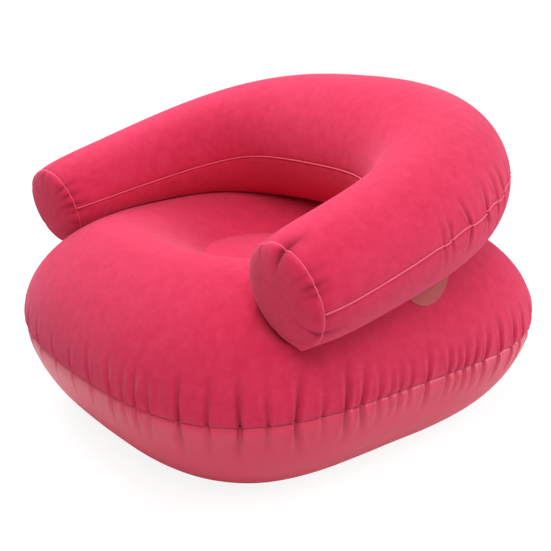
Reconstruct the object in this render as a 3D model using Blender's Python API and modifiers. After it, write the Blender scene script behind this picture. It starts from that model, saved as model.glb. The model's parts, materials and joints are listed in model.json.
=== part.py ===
"""Inflatable armchair.

A seat cushion with rounded corners carries one bent tube that is the backrest and both
arms. Each of the two air chambers is made of welded PVC sheets and has a valve at the back.
The seat is tied down in the middle by a round column inside it, which makes the dimple.
The origin is on the floor under the middle of the seat, +Z is up and the sitter faces -Y,
so the sitter's left is at +X. All sizes are in metres.
"""

from math import acos, cos, pi, radians, sin

import bmesh
import bpy
import numpy as np
from mathutils import Matrix, Vector
from mathutils.bvhtree import BVHTree

COLLECTION_NAME = "inflatable_chair"
CUTTER_COLLECTION_NAME = "cutters"

# Sheets and welds
WALL = 0.0005
FIT_GAP = 0.0003
BEAD_RADIUS = 0.002
BEAD_RESOLUTION = 1
MERGE_DISTANCE = 0.00001

# Seat cushion, outside
SEAT_HALF_WIDTH = 0.480
SEAT_HALF_DEPTH = 0.499
SEAT_CORNER_POWER = 3.5
SEAT_TAPER_SHARE = 0.096
SEAT_ROUND_REACH_SHARE = 0.5
RIM_HEIGHT = 0.186
RIM_TUCK = 0.004
BELLY_HEIGHT = 0.207
DOME_RISE = 0.245
DOME_CROWN_POWER = 2.61
DOME_SHOULDER_POWER = 1.924
FOOT_SHARE = 0.716
FOOT_INNER_SHARE = 0.5
WALL_POWER = 1.8

# Tufts in the middle of the seat, above and below
TUFT_RADIUS = 0.142
TUFT_HEIGHT = 0.332
TUFT_PUFF = 0.014
TUFT_REACH_SHARE = 0.42
TUFT_EDGE_FACTOR = 0.9
BASE_TUFT_HEIGHT = 0.030
BASE_TUFT_PUFF = 0.010

# Column inside the seat
COLUMN_FLANGE = 0.010
COLUMN_WAIST = 0.008
COLUMN_HOLE_RADIUS = 0.020
COLUMN_HOLE_PAIRS = 2

# Backrest tube: its centre line in plan as shares of the seat, how high it stands over the
# seat's upper face, and its thickness
ARM_SPREAD_SHARE = 0.8604
ARM_END_SPREAD_SHARE = 0.8458
ARM_FRONT_SHARE = 0.6172
BEND_START_SHARE = -0.2605
BACK_REACH_SHARE = 0.7996
BACK_CORNER_POWER = 2.615
ARM_END_STAND = 0.118
BACK_STAND = 0.149
RISE_BOW_SHARE = -0.056
ARM_RADIUS = 0.1035
BACK_RADIUS = 0.1554
THICKENING_POWER = 2.0
CAP_PINCH_SHARE = 0.12
CAP_PINCH_REACH = 0.044
CAP_BULGE = 0.018
CAP_POWER = 2.6
OUTER_WELD_DEG = 7.0
INNER_WELD_DEG = 185.0
FRONT_TWIST_DEG = -11.5
BACK_TWIST_DEG = 7.0

# Patches that join the tube to the seat
PATCH_GAP = 0.0005
PATCH_THICKNESS = 0.0008
PATCH_HALF_LENGTH = 0.080
PATCH_HALF_WIDTH = 0.040
SIDE_PATCH_Y_SHARE = 0.1
SIDE_PATCH_OUTSET = 0.003
REAR_PATCH_OUTSET = 0.015

# Two-in-one valve, measured along its axis from the sheet's outer face
VALVE_BORE_RADIUS = 0.013
VALVE_WALL = 0.0012
VALVE_LIP_RISE = 0.0012
VALVE_SLEEVE_DEPTH = 0.010
VALVE_FLANGE_RADIUS = 0.020
VALVE_FLANGE_THICKNESS = 0.0008
PLUG_HEAD_RADIUS = 0.0165
PLUG_HEAD_THICKNESS = 0.0012
PLUG_DEPTH = 0.009
NECK_BORE_RADIUS = 0.0055
NECK_RISE = 0.0018
FLAP_OVERLAP = 0.0005
FLAP_THICKNESS = 0.0006
STOPPER_HEAD_RADIUS = 0.009
STOPPER_HEAD_THICKNESS = 0.0012
STOPPER_DEPTH = 0.008
STOPPER_WALL = 0.001
TAB_LENGTH = 0.005
TAB_WIDTH = 0.006
TAB_CORNER = 0.0015
TAB_THICKNESS_SHARE = 0.8
STRAP_WIDTH = 0.0035
STRAP_THICKNESS = 0.0008
STRAP_RISE = 0.0016
SEAT_VALVE_X = -0.14
SEAT_VALVE_HEIGHT = 0.105
BACKREST_VALVE_X = 0.16
BACKREST_VALVE_HEIGHT = 0.475
CUTTER_OVERRUN = 0.01
FLANGE_CAST_DEPTH = 0.03

# Fineness of the solids
SEAT_FACETS = 44
TUFT_RINGS = 2
DOME_RINGS = 9
WALL_RINGS = 6
COLUMN_FACETS = 6
TUBE_FACETS = 44
TUBE_ARC_FACETS = 12
TURNED_FACETS = 24
RING_FACETS = 28
CAP_RINGS = 4
PATCH_FACETS = 24
PATCH_RINGS = 3
PROBE_FACETS = 48
PROBE_RINGS = 14
STRAP_FACETS = 6
TAB_CORNER_FACETS = 2
FINE_FACETS = 200
HALVINGS = 30
BALL_PROBES = 8

# Sizes that follow
TUFT_SHARE = TUFT_RADIUS / SEAT_HALF_WIDTH
ARM_SPREAD = SEAT_HALF_WIDTH * ARM_SPREAD_SHARE
ARM_END_SPREAD = SEAT_HALF_WIDTH * ARM_END_SPREAD_SHARE
ARM_FRONT = SEAT_HALF_DEPTH * ARM_FRONT_SHARE
BEND_START = SEAT_HALF_DEPTH * BEND_START_SHARE
BACK_REACH = SEAT_HALF_DEPTH * BACK_REACH_SHARE
SIDE_PATCH_Y = SEAT_HALF_DEPTH * SIDE_PATCH_Y_SHARE
WELD_CLEARANCE = BEAD_RADIUS + FIT_GAP
NECK_RADIUS = NECK_BORE_RADIUS + VALVE_WALL
SLEEVE_RADIUS = VALVE_BORE_RADIUS + VALVE_WALL

COLOURS = {
    "flock": (0.66, 0.028, 0.095, 1.0),
    "gloss": (0.60, 0.055, 0.12, 1.0),
    "weld": (0.74, 0.09, 0.17, 1.0),
    "clear": (0.62, 0.34, 0.27, 1.0),
    "inner": (0.58, 0.06, 0.12, 1.0),
    "valve": (0.50, 0.045, 0.10, 1.0),
}
ROUGHNESS = {"flock": 0.95, "gloss": 0.3, "weld": 0.45, "clear": 0.25, "inner": 0.4, "valve": 0.35}


def clear_scene():
    for obj in list(bpy.data.objects):
        bpy.data.objects.remove(obj, do_unlink=True)


def new_collection(name, is_helper=False):
    collection = bpy.data.collections.new(name)
    collection.hide_render = is_helper
    bpy.context.scene.collection.children.link(collection)
    return collection


def material_for(node, finish):
    material = bpy.data.materials.new(node)
    material.use_nodes = True
    shader = material.node_tree.nodes["Principled BSDF"]
    shader.inputs["Base Color"].default_value = COLOURS[finish]
    shader.inputs["Roughness"].default_value = ROUGHNESS[finish]
    shader.inputs["Metallic"].default_value = 0.0
    material.diffuse_color = COLOURS[finish]
    return material


def add_node(name, data, finish, matrix=Matrix()):
    obj = bpy.data.objects.new(name, data)
    obj.matrix_world = matrix
    bpy.data.collections[COLLECTION_NAME].objects.link(obj)
    data.materials.append(material_for(name, finish))
    return obj


def add_cutter(name, mesh, matrix=Matrix()):
    cutter = bpy.data.objects.new(name, mesh)
    cutter.matrix_world = matrix
    cutter.display_type = "WIRE"
    cutter.hide_render = True
    bpy.data.collections[CUTTER_COLLECTION_NAME].objects.link(cutter)
    return cutter


def boolean(obj, cutter, operation):
    modifier = obj.modifiers.new(cutter.name, "BOOLEAN")
    modifier.operation = operation
    modifier.object = cutter
    modifier.solver = "EXACT"


def loft_mesh(name, rows, is_ring, pole=None, end_pole=None):
    """A mesh through rows of points. Rings close on themselves, and poles close the end rows."""
    bm = bmesh.new()
    grid = [[bm.verts.new(point) for point in row] for row in rows]
    count = len(grid[0])
    steps = count if is_ring else count - 1
    for near, far in zip(grid, grid[1:]):
        for i in range(steps):
            j = (i + 1) % count
            bm.faces.new((near[i], near[j], far[j], far[i]))
    if pole is not None:
        middle = bm.verts.new(pole)
        for i in range(steps):
            bm.faces.new((middle, grid[0][(i + 1) % count], grid[0][i]))
    if end_pole is not None:
        middle = bm.verts.new(end_pole)
        for i in range(steps):
            bm.faces.new((grid[-1][i], grid[-1][(i + 1) % count], middle))
    mesh = bpy.data.meshes.new(name)
    bm.to_mesh(mesh)
    bm.free()
    mesh.shade_smooth()
    return mesh


def thicken(obj, thickness=WALL, offset=-1.0):
    modifier = obj.modifiers.new("wall", "SOLIDIFY")
    modifier.thickness = thickness
    modifier.offset = offset
    modifier.use_even_offset = True
    modifier.use_quality_normals = True


def turned(name, profile, finish, matrix=Matrix(), is_closed=True, steps=TURNED_FACETS):
    """A profile of (radius, height) points turned about the local Z axis."""
    count = len(profile)
    edges = [(i, i + 1) for i in range(count - 1)]
    if is_closed:
        edges.append((count - 1, 0))
    mesh = bpy.data.meshes.new(name)
    mesh.from_pydata([(radius, 0, height) for radius, height in profile], edges, [])
    obj = add_node(name, mesh, finish, matrix)
    screw = obj.modifiers.new("turn", "SCREW")
    screw.angle = 2 * pi
    screw.steps = steps
    screw.render_steps = steps
    screw.use_merge_vertices = True
    screw.merge_threshold = MERGE_DISTANCE
    return obj


def bead(name, points, is_ring):
    """A weld's bead: a thin round strip along the line where two sheets meet."""
    curve = bpy.data.curves.new(name, "CURVE")
    curve.dimensions = "3D"
    curve.bevel_depth = BEAD_RADIUS
    curve.bevel_resolution = BEAD_RESOLUTION
    curve.use_fill_caps = True
    spline = curve.splines.new("POLY")
    spline.points.add(len(points) - 1)
    for slot, point in zip(spline.points, points):
        slot.co = (*point, 1.0)
    spline.use_cyclic_u = is_ring
    return add_node(name, curve, "weld")


def smooth(share):
    share = np.clip(share, 0, 1)
    return share * share * (3 - 2 * share)


def seat_radius(angle, share):
    """The seat's plan radius: a circle at the tuft, a rounded square at the rim."""
    x, y = np.cos(angle), np.sin(angle)
    power = SEAT_CORNER_POWER
    square = np.abs(x / SEAT_HALF_WIDTH) ** power + np.abs(y / SEAT_HALF_DEPTH) ** power
    square = square ** (-1 / power) * (1 + SEAT_TAPER_SHARE * y * x * x)
    squareness = smooth((share - TUFT_SHARE) / SEAT_ROUND_REACH_SHARE)
    return share * (SEAT_HALF_WIDTH + squareness * (square - SEAT_HALF_WIDTH))


def dome_height(share):
    return BELLY_HEIGHT + DOME_RISE * (1 - share**DOME_CROWN_POWER) ** (1 / DOME_SHOULDER_POWER)


def seat_height(share):
    """The height of the seat's upper face: a dome, less the dimple round the tuft."""
    share = np.asarray(share, float)
    pull = dome_height(TUFT_SHARE) - TUFT_HEIGHT
    fade = np.clip((share - TUFT_SHARE) / TUFT_REACH_SHARE, 0, 1)
    outside = dome_height(np.maximum(share, TUFT_SHARE))
    outside = outside - pull * (1 - fade) ** 2 * (1 + TUFT_EDGE_FACTOR * fade)
    inside = TUFT_HEIGHT + TUFT_PUFF * (1 - (share / TUFT_SHARE) ** 2)
    return np.where(share < TUFT_SHARE, inside, outside)


def seat_height_at(x, y):
    """The same height over a place on the floor, found by halving the range of shares."""
    angle, radius = np.arctan2(y, x), np.hypot(x, y)
    low, high = np.zeros_like(radius), np.ones_like(radius)
    for _ in range(HALVINGS):
        middle = (low + high) / 2
        is_inside = seat_radius(angle, middle) < radius
        low = np.where(is_inside, middle, low)
        high = np.where(is_inside, high, middle)
    return np.where(seat_radius(angle, 1.0) > radius, seat_height(low), 0.0)


def height_clear_of_seat(x, y, radius):
    """The height at which the middle of a ball of this radius rests on the seat."""
    aside = radius * sin(pi / 4)
    height = seat_height_at(x, y) + radius
    for i in range(BALL_PROBES):
        turn = 2 * pi * i / BALL_PROBES
        beside = seat_height_at(x + aside * cos(turn), y + aside * sin(turn))
        height = np.maximum(height, beside + aside)
    return height


def seat_ring(share, height, inset=0.0):
    angles = np.arange(SEAT_FACETS) * 2 * pi / SEAT_FACETS
    radius = seat_radius(angles, share) - inset
    return [(r * cos(a), r * sin(a), height) for r, a in zip(radius, angles)]


def make_seat_top():
    """The flocked upper sheet, from the rim weld over the dome into the dimple."""
    shares = [TUFT_SHARE * (i + 1) / TUFT_RINGS for i in range(TUFT_RINGS)]
    for i in range(DOME_RINGS):
        turn = pi / 2 * (i + 1) / DOME_RINGS
        shares.append(TUFT_SHARE + (1 - TUFT_SHARE) * sin(turn))
    rings = [seat_ring(share, float(seat_height(share))) for share in shares]
    rings.append(seat_ring(1, RIM_HEIGHT + WELD_CLEARANCE, RIM_TUCK))
    mesh = loft_mesh("seat_top_sheet", rings, True, (0, 0, float(seat_height(0))))
    mesh.flip_normals()
    obj = add_node("seat_top_sheet", mesh, "flock")
    thicken(obj)
    return obj


def base_tuft_height(share):
    return BASE_TUFT_HEIGHT - BASE_TUFT_PUFF * (1 - (share / TUFT_SHARE) ** 2)


def make_seat_bottom():
    """The smooth lower sheet: the wall, the flat foot and the shallow hollow under the column."""
    reach = 1 - FOOT_SHARE
    top = RIM_HEIGHT - WELD_CLEARANCE
    end = acos((1 - top / BELLY_HEIGHT) ** (WALL_POWER / 2))
    rings = [
        seat_ring(TUFT_SHARE / 2, base_tuft_height(TUFT_SHARE / 2)),
        seat_ring(TUFT_SHARE, base_tuft_height(TUFT_SHARE)),
        seat_ring((TUFT_SHARE + FOOT_INNER_SHARE) / 2, BASE_TUFT_HEIGHT / 2),
        seat_ring(FOOT_INNER_SHARE, 0),
        seat_ring(FOOT_SHARE, 0),
    ]
    for i in range(1, WALL_RINGS + 1):
        turn = end * i / WALL_RINGS
        share = FOOT_SHARE + reach * sin(turn) ** (2 / WALL_POWER)
        height = BELLY_HEIGHT * (1 - cos(turn) ** (2 / WALL_POWER))
        rings.append(seat_ring(share, height, RIM_TUCK if i == WALL_RINGS else 0.0))
    pole = (0, 0, base_tuft_height(0))
    obj = add_node("seat_bottom_sheet", loft_mesh("seat_bottom_sheet", rings, True, pole), "gloss")
    thicken(obj)
    return obj


def make_column():
    """The round column that ties the two sheets together, with holes that let the air past."""
    top = TUFT_HEIGHT - WALL - FIT_GAP
    bottom = BASE_TUFT_HEIGHT + WALL + FIT_GAP
    profile = [(TUFT_RADIUS - COLUMN_FLANGE, top)]
    for i in range(COLUMN_FACETS + 1):
        share = i / COLUMN_FACETS
        waist = COLUMN_WAIST * sin(pi * share)
        profile.append((TUFT_RADIUS - waist, top + (bottom - top) * share))
    profile.append((TUFT_RADIUS - COLUMN_FLANGE, bottom))
    obj = turned("tether_column", profile, "inner", is_closed=False, steps=SEAT_FACETS)
    thicken(obj)
    for i in range(COLUMN_HOLE_PAIRS):
        bpy.ops.mesh.primitive_cylinder_add(
            vertices=TURNED_FACETS,
            radius=COLUMN_HOLE_RADIUS,
            depth=2 * (TUFT_RADIUS + CUTTER_OVERRUN),
            location=(0, 0, (top + bottom) / 2),
            rotation=(pi / 2, 0, pi * (i + 0.5) / COLUMN_HOLE_PAIRS),
        )
        made = bpy.context.object
        cutter = add_cutter(f"column_hole_{i + 1}", made.data, made.matrix_world.copy())
        bpy.data.objects.remove(made, do_unlink=True)
        boolean(obj, cutter, "DIFFERENCE")


def tube_line():
    """The tube's centre line, from the sitter's right arm end round the back to the left."""
    runs = np.linspace(0, 1, FINE_FACETS, endpoint=False)
    y = -ARM_FRONT + (BEND_START + ARM_FRONT) * runs
    x = ARM_END_SPREAD + (ARM_SPREAD - ARM_END_SPREAD) * (1 - (1 - runs) ** 2)
    turn = np.linspace(-pi / 2, pi / 2, 2 * FINE_FACETS + 1)
    power = 2 / BACK_CORNER_POWER
    bend_x = ARM_SPREAD * np.sign(turn) * np.abs(np.sin(turn)) ** power
    bend_y = BEND_START + BACK_REACH * np.abs(np.cos(turn)) ** power
    x = np.concatenate([-x, bend_x, x[::-1]])
    y = np.concatenate([y, bend_y, y[::-1]])
    back = (y + ARM_FRONT) / (BEND_START + BACK_REACH + ARM_FRONT)
    bow = RISE_BOW_SHARE * back * (1 - back)
    end_height = ARM_END_STAND + seat_height_at(ARM_END_SPREAD, -ARM_FRONT)
    back_height = BACK_STAND + seat_height_at(0.0, BEND_START + BACK_REACH)
    z = end_height + (back_height - end_height) * (back + bow)
    return np.stack([x, y, z], 1), back


def tube_length(line):
    return np.concatenate([[0], np.cumsum(np.linalg.norm(np.diff(line, axis=0), axis=1))])


def tube_sections(places):
    """Centres, radii, outward and upward directions and twists at places along the tube."""
    line, back = tube_line()
    length = tube_length(line)
    even = np.linspace(0, length[-1], len(length))
    line = np.stack([np.interp(even, length, line[:, i]) for i in range(3)], 1)
    back = np.interp(even, length, back)
    tangent = np.gradient(line, axis=0)
    tangent /= np.linalg.norm(tangent, axis=1)[:, None]

    def at(values):
        return np.stack([np.interp(places, even, column) for column in values.T], 1)

    centre, along = at(line), at(tangent)
    along /= np.linalg.norm(along, axis=1)[:, None]
    back = np.interp(places, even, back)
    radius = ARM_RADIUS + (BACK_RADIUS - ARM_RADIUS) * back**THICKENING_POWER
    from_cap = np.minimum(places, length[-1] - places)
    radius = radius * (1 - CAP_PINCH_SHARE * np.exp(-from_cap / CAP_PINCH_REACH))
    outward = np.stack([-along[:, 1], along[:, 0], 0 * back], 1)
    outward /= np.linalg.norm(outward, axis=1)[:, None]
    upward = np.cross(along, outward)
    upward *= np.sign(upward[:, 2])[:, None]
    twist = np.radians(FRONT_TWIST_DEG + (BACK_TWIST_DEG - FRONT_TWIST_DEG) * back)
    return centre, along, radius, outward, upward, twist


def tube_places(count):
    total = tube_length(tube_line()[0])[-1]
    return np.linspace(WELD_CLEARANCE, total - WELD_CLEARANCE, count + 1)


def pressed(points, clearance):
    """Lifts what would sink into the seat, so that it lies over the seat's upper face."""
    lifted = points.copy()
    floor = height_clear_of_seat(points[..., 0], points[..., 1], clearance)
    lifted[..., 2] = np.maximum(points[..., 2], floor)
    return lifted


def tube_surface(count, angles, clearance):
    """Points round each section of the tube, pressed on to the seat."""
    centre, _, radius, outward, upward, _ = tube_sections(tube_places(count))
    around = outward[:, None] * np.cos(angles)[..., None] + upward[:, None] * np.sin(angles)[..., None]
    return pressed(centre[:, None] + around * radius[:, None, None], clearance)


def arc_angles(count, facets, is_upper):
    """The angles of one half sheet, from one long weld to the other, clear of both beads."""
    _, _, radius, _, _, twist = tube_sections(tube_places(count))
    start, end = radians(OUTER_WELD_DEG), radians(INNER_WELD_DEG)
    if not is_upper:
        start, end = end, start + 2 * pi
    clear = WELD_CLEARANCE / radius
    share = np.linspace(0, 1, facets + 1)
    low, high = start + twist + clear, end + twist - clear
    return low[:, None] + (high - low)[:, None] * share


def make_tube_sheet(name, is_upper, clearance):
    """Half of the tube's skin, welded to the other half along the outer and inner lines."""
    angles = arc_angles(TUBE_FACETS, TUBE_ARC_FACETS, is_upper)
    mesh = loft_mesh(name, tube_surface(TUBE_FACETS, angles, clearance), False)
    obj = add_node(name, mesh, "flock")
    split = obj.modifiers.new("same split on both arms", "TRIANGULATE")
    split.quad_method = "SHORTEST_DIAGONAL"
    thicken(obj)
    return obj


def make_long_weld(name, degrees, clearance):
    twist = tube_sections(tube_places(TUBE_FACETS))[-1]
    points = tube_surface(TUBE_FACETS, (radians(degrees) + twist)[:, None], clearance)
    return bead(name, [tuple(point) for point in points[:, 0]], False)


def axis_matrix(point, axis):
    """Places a piece at a point with its local Z along an axis and its local X level."""
    axis = Vector(axis).normalized()
    side = Vector((0, 0, 1)).cross(axis).normalized()
    turn = Matrix((side, axis.cross(side), axis)).transposed()
    return Matrix.Translation(Vector(point)) @ turn.to_4x4()


def make_arm_end(side, place, sign, clearance):
    """The round end cap of one arm, and the ring weld that holds it in the tube."""
    centre, along, radius, _, _, _ = tube_sections(np.array([place]))
    matrix = axis_matrix(centre[0], along[0] * sign)
    weld = arm_ring(matrix, radius[0], 0)
    lift = pressed(weld, clearance) - weld
    bead(f"{side}_cap_weld", [tuple(point) for point in weld + lift], True)
    rim = radius[0] - WELD_CLEARANCE
    rings = []
    for i in range(1, CAP_RINGS + 1):
        share = sin(pi / 2 * i / CAP_RINGS)
        rise = CAP_BULGE * (1 - share**CAP_POWER) ** (1 / CAP_POWER)
        rings.append(arm_ring(matrix, rim * share, rise) + lift * share)
    mesh = loft_mesh(f"{side}_arm_cap", rings, True, matrix @ Vector((0, 0, CAP_BULGE)))
    mesh.flip_normals()
    thicken(add_node(f"{side}_arm_cap", mesh, "flock"))


def arm_ring(matrix, radius, rise):
    angles = np.arange(RING_FACETS) * 2 * pi / RING_FACETS
    return np.array([matrix @ Vector((radius * cos(a), radius * sin(a), rise)) for a in angles])


def oval(centre, turn, share, facets):
    """Places round an oval that is a share of a patch's outline."""
    angles = np.arange(facets) * 2 * pi / facets
    along = PATCH_HALF_LENGTH * share * np.cos(angles)
    across = PATCH_HALF_WIDTH * share * np.sin(angles)
    x = centre[0] + along * cos(turn) - across * sin(turn)
    y = centre[1] + along * sin(turn) + across * cos(turn)
    return x, y


def patch_points(x, y, rise):
    return np.stack([x, y, height_clear_of_seat(x, y, rise)], -1)


def make_patch(name, centre, turn, seat_tree):
    """An oval patch of clear sheet that lies on the seat, where the tube rests on it."""
    upper, lower = [], []
    for ring in range(PATCH_RINGS, 0, -1):
        x, y = oval(centre, turn, ring / PATCH_RINGS, PATCH_FACETS)
        lower.append(patch_points(x, y, PATCH_GAP))
        upper.append(patch_points(x, y, PATCH_GAP + PATCH_THICKNESS))
    low, high = (patch_points(*centre, rise) for rise in (PATCH_GAP, PATCH_GAP + PATCH_THICKNESS))
    patch = add_node(name, loft_mesh(name, lower[::-1] + upper, True, low, high), "clear")
    probes = [oval(centre, turn, ring / PROBE_RINGS, PROBE_FACETS) for ring in range(PROBE_RINGS)]
    places = np.concatenate([np.stack(probe, -1) for probe in probes])
    lift = shortage(seat_tree, solid_tree(patch), places)
    patch.data.transform(Matrix.Translation((0, 0, lift)))
    return patch, places


def shortage(under, over, places):
    """How far a mesh must rise to clear another one under it by the patches' gap."""
    lift = 0.0
    for x, y in places:
        top = under.ray_cast(Vector((x, y, 2 * BELLY_HEIGHT + DOME_RISE)), Vector((0, 0, -1)))
        bottom = over.ray_cast(Vector((x, y, 0)), Vector((0, 0, 1)))
        if top[0] and bottom[0]:
            lift = max(lift, top[0].z + PATCH_GAP / top[1].z - bottom[0].z)
    return lift


def clearance_over(patches):
    """How far over the seat the tube lies, so that its facets clear the patches between them."""
    clearance = PATCH_THICKNESS + 2 * PATCH_GAP
    trial = make_tube_sheet("tube_trial", False, clearance)
    tree = solid_tree(trial)
    clearance += max(shortage(solid_tree(patch), tree, places) for patch, places in patches)
    bpy.data.objects.remove(trial, do_unlink=True)
    return clearance


def solid_tree(obj):
    bpy.context.view_layer.update()
    return BVHTree.FromObject(obj, bpy.context.evaluated_depsgraph_get())


def nearest_face(obj, x, height):
    """The rear face of a sheet whose middle lies nearest to a place, with its outward normal."""
    best = None
    for face in obj.data.polygons:
        if face.center.y < 0 or face.normal.y < 0:
            continue
        away = (face.center.x - x) ** 2 + (face.center.z - height) ** 2
        if best is None or away < best[0]:
            best = (away, face.center.copy(), face.normal.copy())
    return best[1:]


def flange_depth(tree, matrix):
    """How deep the flange's outer face lies under the sheet's outer face, clear of its inside."""
    depth = WALL + FIT_GAP
    axis = matrix.to_3x3() @ Vector((0, 0, 1))
    for i in range(TURNED_FACETS):
        angle = 2 * pi * i / TURNED_FACETS
        rim = Vector((VALVE_FLANGE_RADIUS * cos(angle), VALVE_FLANGE_RADIUS * sin(angle), 0))
        start = matrix @ (rim - Vector((0, 0, FLANGE_CAST_DEPTH)))
        hit = tree.ray_cast(start, axis, 2 * FLANGE_CAST_DEPTH)
        if hit[0]:
            depth = max(depth, FLANGE_CAST_DEPTH - hit[3] + FIT_GAP)
    return depth


def make_valve(prefix, sheet, x, height):
    """A valve in a sheet: its base, the wide plug, the flap inside it, the stopper and its strap."""
    matrix = axis_matrix(*nearest_face(sheet, x, height))
    depth = flange_depth(solid_tree(sheet), matrix)
    make_valve_base(prefix, matrix, depth)
    head = VALVE_LIP_RISE + FIT_GAP
    make_plug(prefix, matrix, head)
    make_flap(prefix, matrix)
    make_stopper(prefix, matrix, head + PLUG_HEAD_THICKNESS)
    bm = bmesh.new()
    bmesh.ops.create_cone(
        bm,
        cap_ends=True,
        segments=TURNED_FACETS,
        radius1=SLEEVE_RADIUS + FIT_GAP,
        radius2=SLEEVE_RADIUS + FIT_GAP,
        depth=2 * CUTTER_OVERRUN,
    )
    mesh = bpy.data.meshes.new(f"{prefix}_valve_hole")
    bm.to_mesh(mesh)
    bm.free()
    boolean(sheet, add_cutter(f"{prefix}_valve_hole", mesh, matrix), "DIFFERENCE")


def make_valve_base(prefix, matrix, depth):
    profile = [
        (SLEEVE_RADIUS, VALVE_LIP_RISE),
        (SLEEVE_RADIUS, -depth),
        (VALVE_FLANGE_RADIUS, -depth),
        (VALVE_FLANGE_RADIUS, -depth - VALVE_FLANGE_THICKNESS),
        (SLEEVE_RADIUS, -depth - VALVE_FLANGE_THICKNESS),
        (SLEEVE_RADIUS, -VALVE_SLEEVE_DEPTH),
        (VALVE_BORE_RADIUS, -VALVE_SLEEVE_DEPTH),
        (VALVE_BORE_RADIUS, VALVE_LIP_RISE),
    ]
    turned(f"{prefix}_valve_base", profile, "valve", matrix)


def make_plug(prefix, matrix, head):
    """The wide plug: a head, an outer wall that fits the base, and a neck for the stopper."""
    outer = VALVE_BORE_RADIUS - FIT_GAP
    top = head + PLUG_HEAD_THICKNESS
    profile = [
        (NECK_RADIUS, top + NECK_RISE),
        (NECK_RADIUS, top),
        (PLUG_HEAD_RADIUS, top),
        (PLUG_HEAD_RADIUS, head),
        (outer, head),
        (outer, -PLUG_DEPTH),
        (outer - VALVE_WALL, -PLUG_DEPTH),
        (outer - VALVE_WALL, head),
        (NECK_RADIUS, head),
        (NECK_RADIUS, -PLUG_DEPTH),
        (NECK_BORE_RADIUS, -PLUG_DEPTH),
        (NECK_BORE_RADIUS, top + NECK_RISE),
    ]
    turned(f"{prefix}_valve_plug", profile, "valve", matrix)


def make_flap(prefix, matrix):
    """The soft one-way flap under the neck. Its origin is on the line that it bends about."""
    radius = NECK_RADIUS + FLAP_OVERLAP
    bm = bmesh.new()
    bmesh.ops.create_cone(
        bm, cap_ends=True, segments=TURNED_FACETS, radius1=radius, radius2=radius, depth=FLAP_THICKNESS
    )
    bmesh.ops.translate(bm, verts=bm.verts, vec=(NECK_RADIUS, 0, 0))
    mesh = bpy.data.meshes.new(f"{prefix}_valve_flap")
    bm.to_mesh(mesh)
    bm.free()
    drop = -PLUG_DEPTH - FIT_GAP - FLAP_THICKNESS / 2
    hinge = matrix @ Matrix.Translation((-NECK_RADIUS, 0, drop))
    add_node(f"{prefix}_valve_flap", mesh, "valve", hinge)


def make_stopper(prefix, matrix, plug_top):
    """The stopper with its finger tab, and the strap that ties it to the plug."""
    under = plug_top + NECK_RISE + FIT_GAP
    top = under + STOPPER_HEAD_THICKNESS
    stem = NECK_BORE_RADIUS - FIT_GAP
    profile = [
        (0, top),
        (STOPPER_HEAD_RADIUS, top),
        (STOPPER_HEAD_RADIUS, under),
        (stem, under),
        (stem, under - STOPPER_DEPTH),
        (stem - STOPPER_WALL, under - STOPPER_DEPTH),
        (stem - STOPPER_WALL, under),
        (0, under),
    ]
    stopper = turned(f"{prefix}_valve_stopper", profile, "valve", matrix, is_closed=False)
    reach = STOPPER_HEAD_RADIUS / 2 + TAB_LENGTH
    thickness = STOPPER_HEAD_THICKNESS * TAB_THICKNESS_SHARE
    bm = bmesh.new()
    bmesh.ops.create_cube(bm, size=1)
    bmesh.ops.scale(bm, verts=bm.verts, vec=(reach, TAB_WIDTH, thickness))
    bmesh.ops.translate(
        bm, verts=bm.verts, vec=(STOPPER_HEAD_RADIUS / 2 + reach / 2, 0, (under + top) / 2)
    )
    upright = [edge for edge in bm.edges if abs(edge.verts[0].co.z - edge.verts[1].co.z) > FIT_GAP]
    bmesh.ops.bevel(bm, geom=upright, offset=TAB_CORNER, segments=TAB_CORNER_FACETS, affect="EDGES")
    mesh = bpy.data.meshes.new(f"{prefix}_stopper_tab")
    bm.to_mesh(mesh)
    bm.free()
    boolean(stopper, add_cutter(f"{prefix}_stopper_tab", mesh, matrix), "UNION")
    make_strap(prefix, matrix, plug_top, (under + top) / 2)


def make_strap(prefix, matrix, low, high):
    """A ribbon that arches from the stopper's edge down to the plug's head."""
    near = STOPPER_HEAD_RADIUS + FIT_GAP
    far = PLUG_HEAD_RADIUS - STRAP_THICKNESS
    end = low + FIT_GAP
    rows = []
    for i in range(STRAP_FACETS + 1):
        turn = pi / 2 * i / STRAP_FACETS
        out = near + (far - near) * sin(turn)
        arch = STRAP_RISE * sin(2 * turn)
        rise = end + (high - end) * cos(turn) + arch
        rows.append([(-out, side * STRAP_WIDTH / 2, rise) for side in (-1, 1)])
    name = f"{prefix}_valve_strap"
    obj = add_node(name, loft_mesh(name, rows, False), "valve", matrix)
    thicken(obj, STRAP_THICKNESS, 0.0)


def make_joints(seat_tree):
    """The three patches: one under each arm and one under the middle of the back."""
    centre, along, _, outward, _, _ = tube_sections(tube_places(FINE_FACETS))
    right = int(np.argmin(np.abs(centre[:, 1] - SIDE_PATCH_Y) + (centre[:, 0] > 0)))
    places = (
        ("right", right, SIDE_PATCH_OUTSET),
        ("rear", FINE_FACETS // 2, REAR_PATCH_OUTSET),
        ("left", FINE_FACETS - right, SIDE_PATCH_OUTSET),
    )
    patches = []
    for name, index, outset in places:
        middle = centre[index, :2] + outward[index, :2] * outset
        turn = float(np.arctan2(along[index, 1], along[index, 0]))
        patches.append(make_patch(f"{name}_joint_patch", tuple(middle), turn, seat_tree))
    return patches


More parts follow.
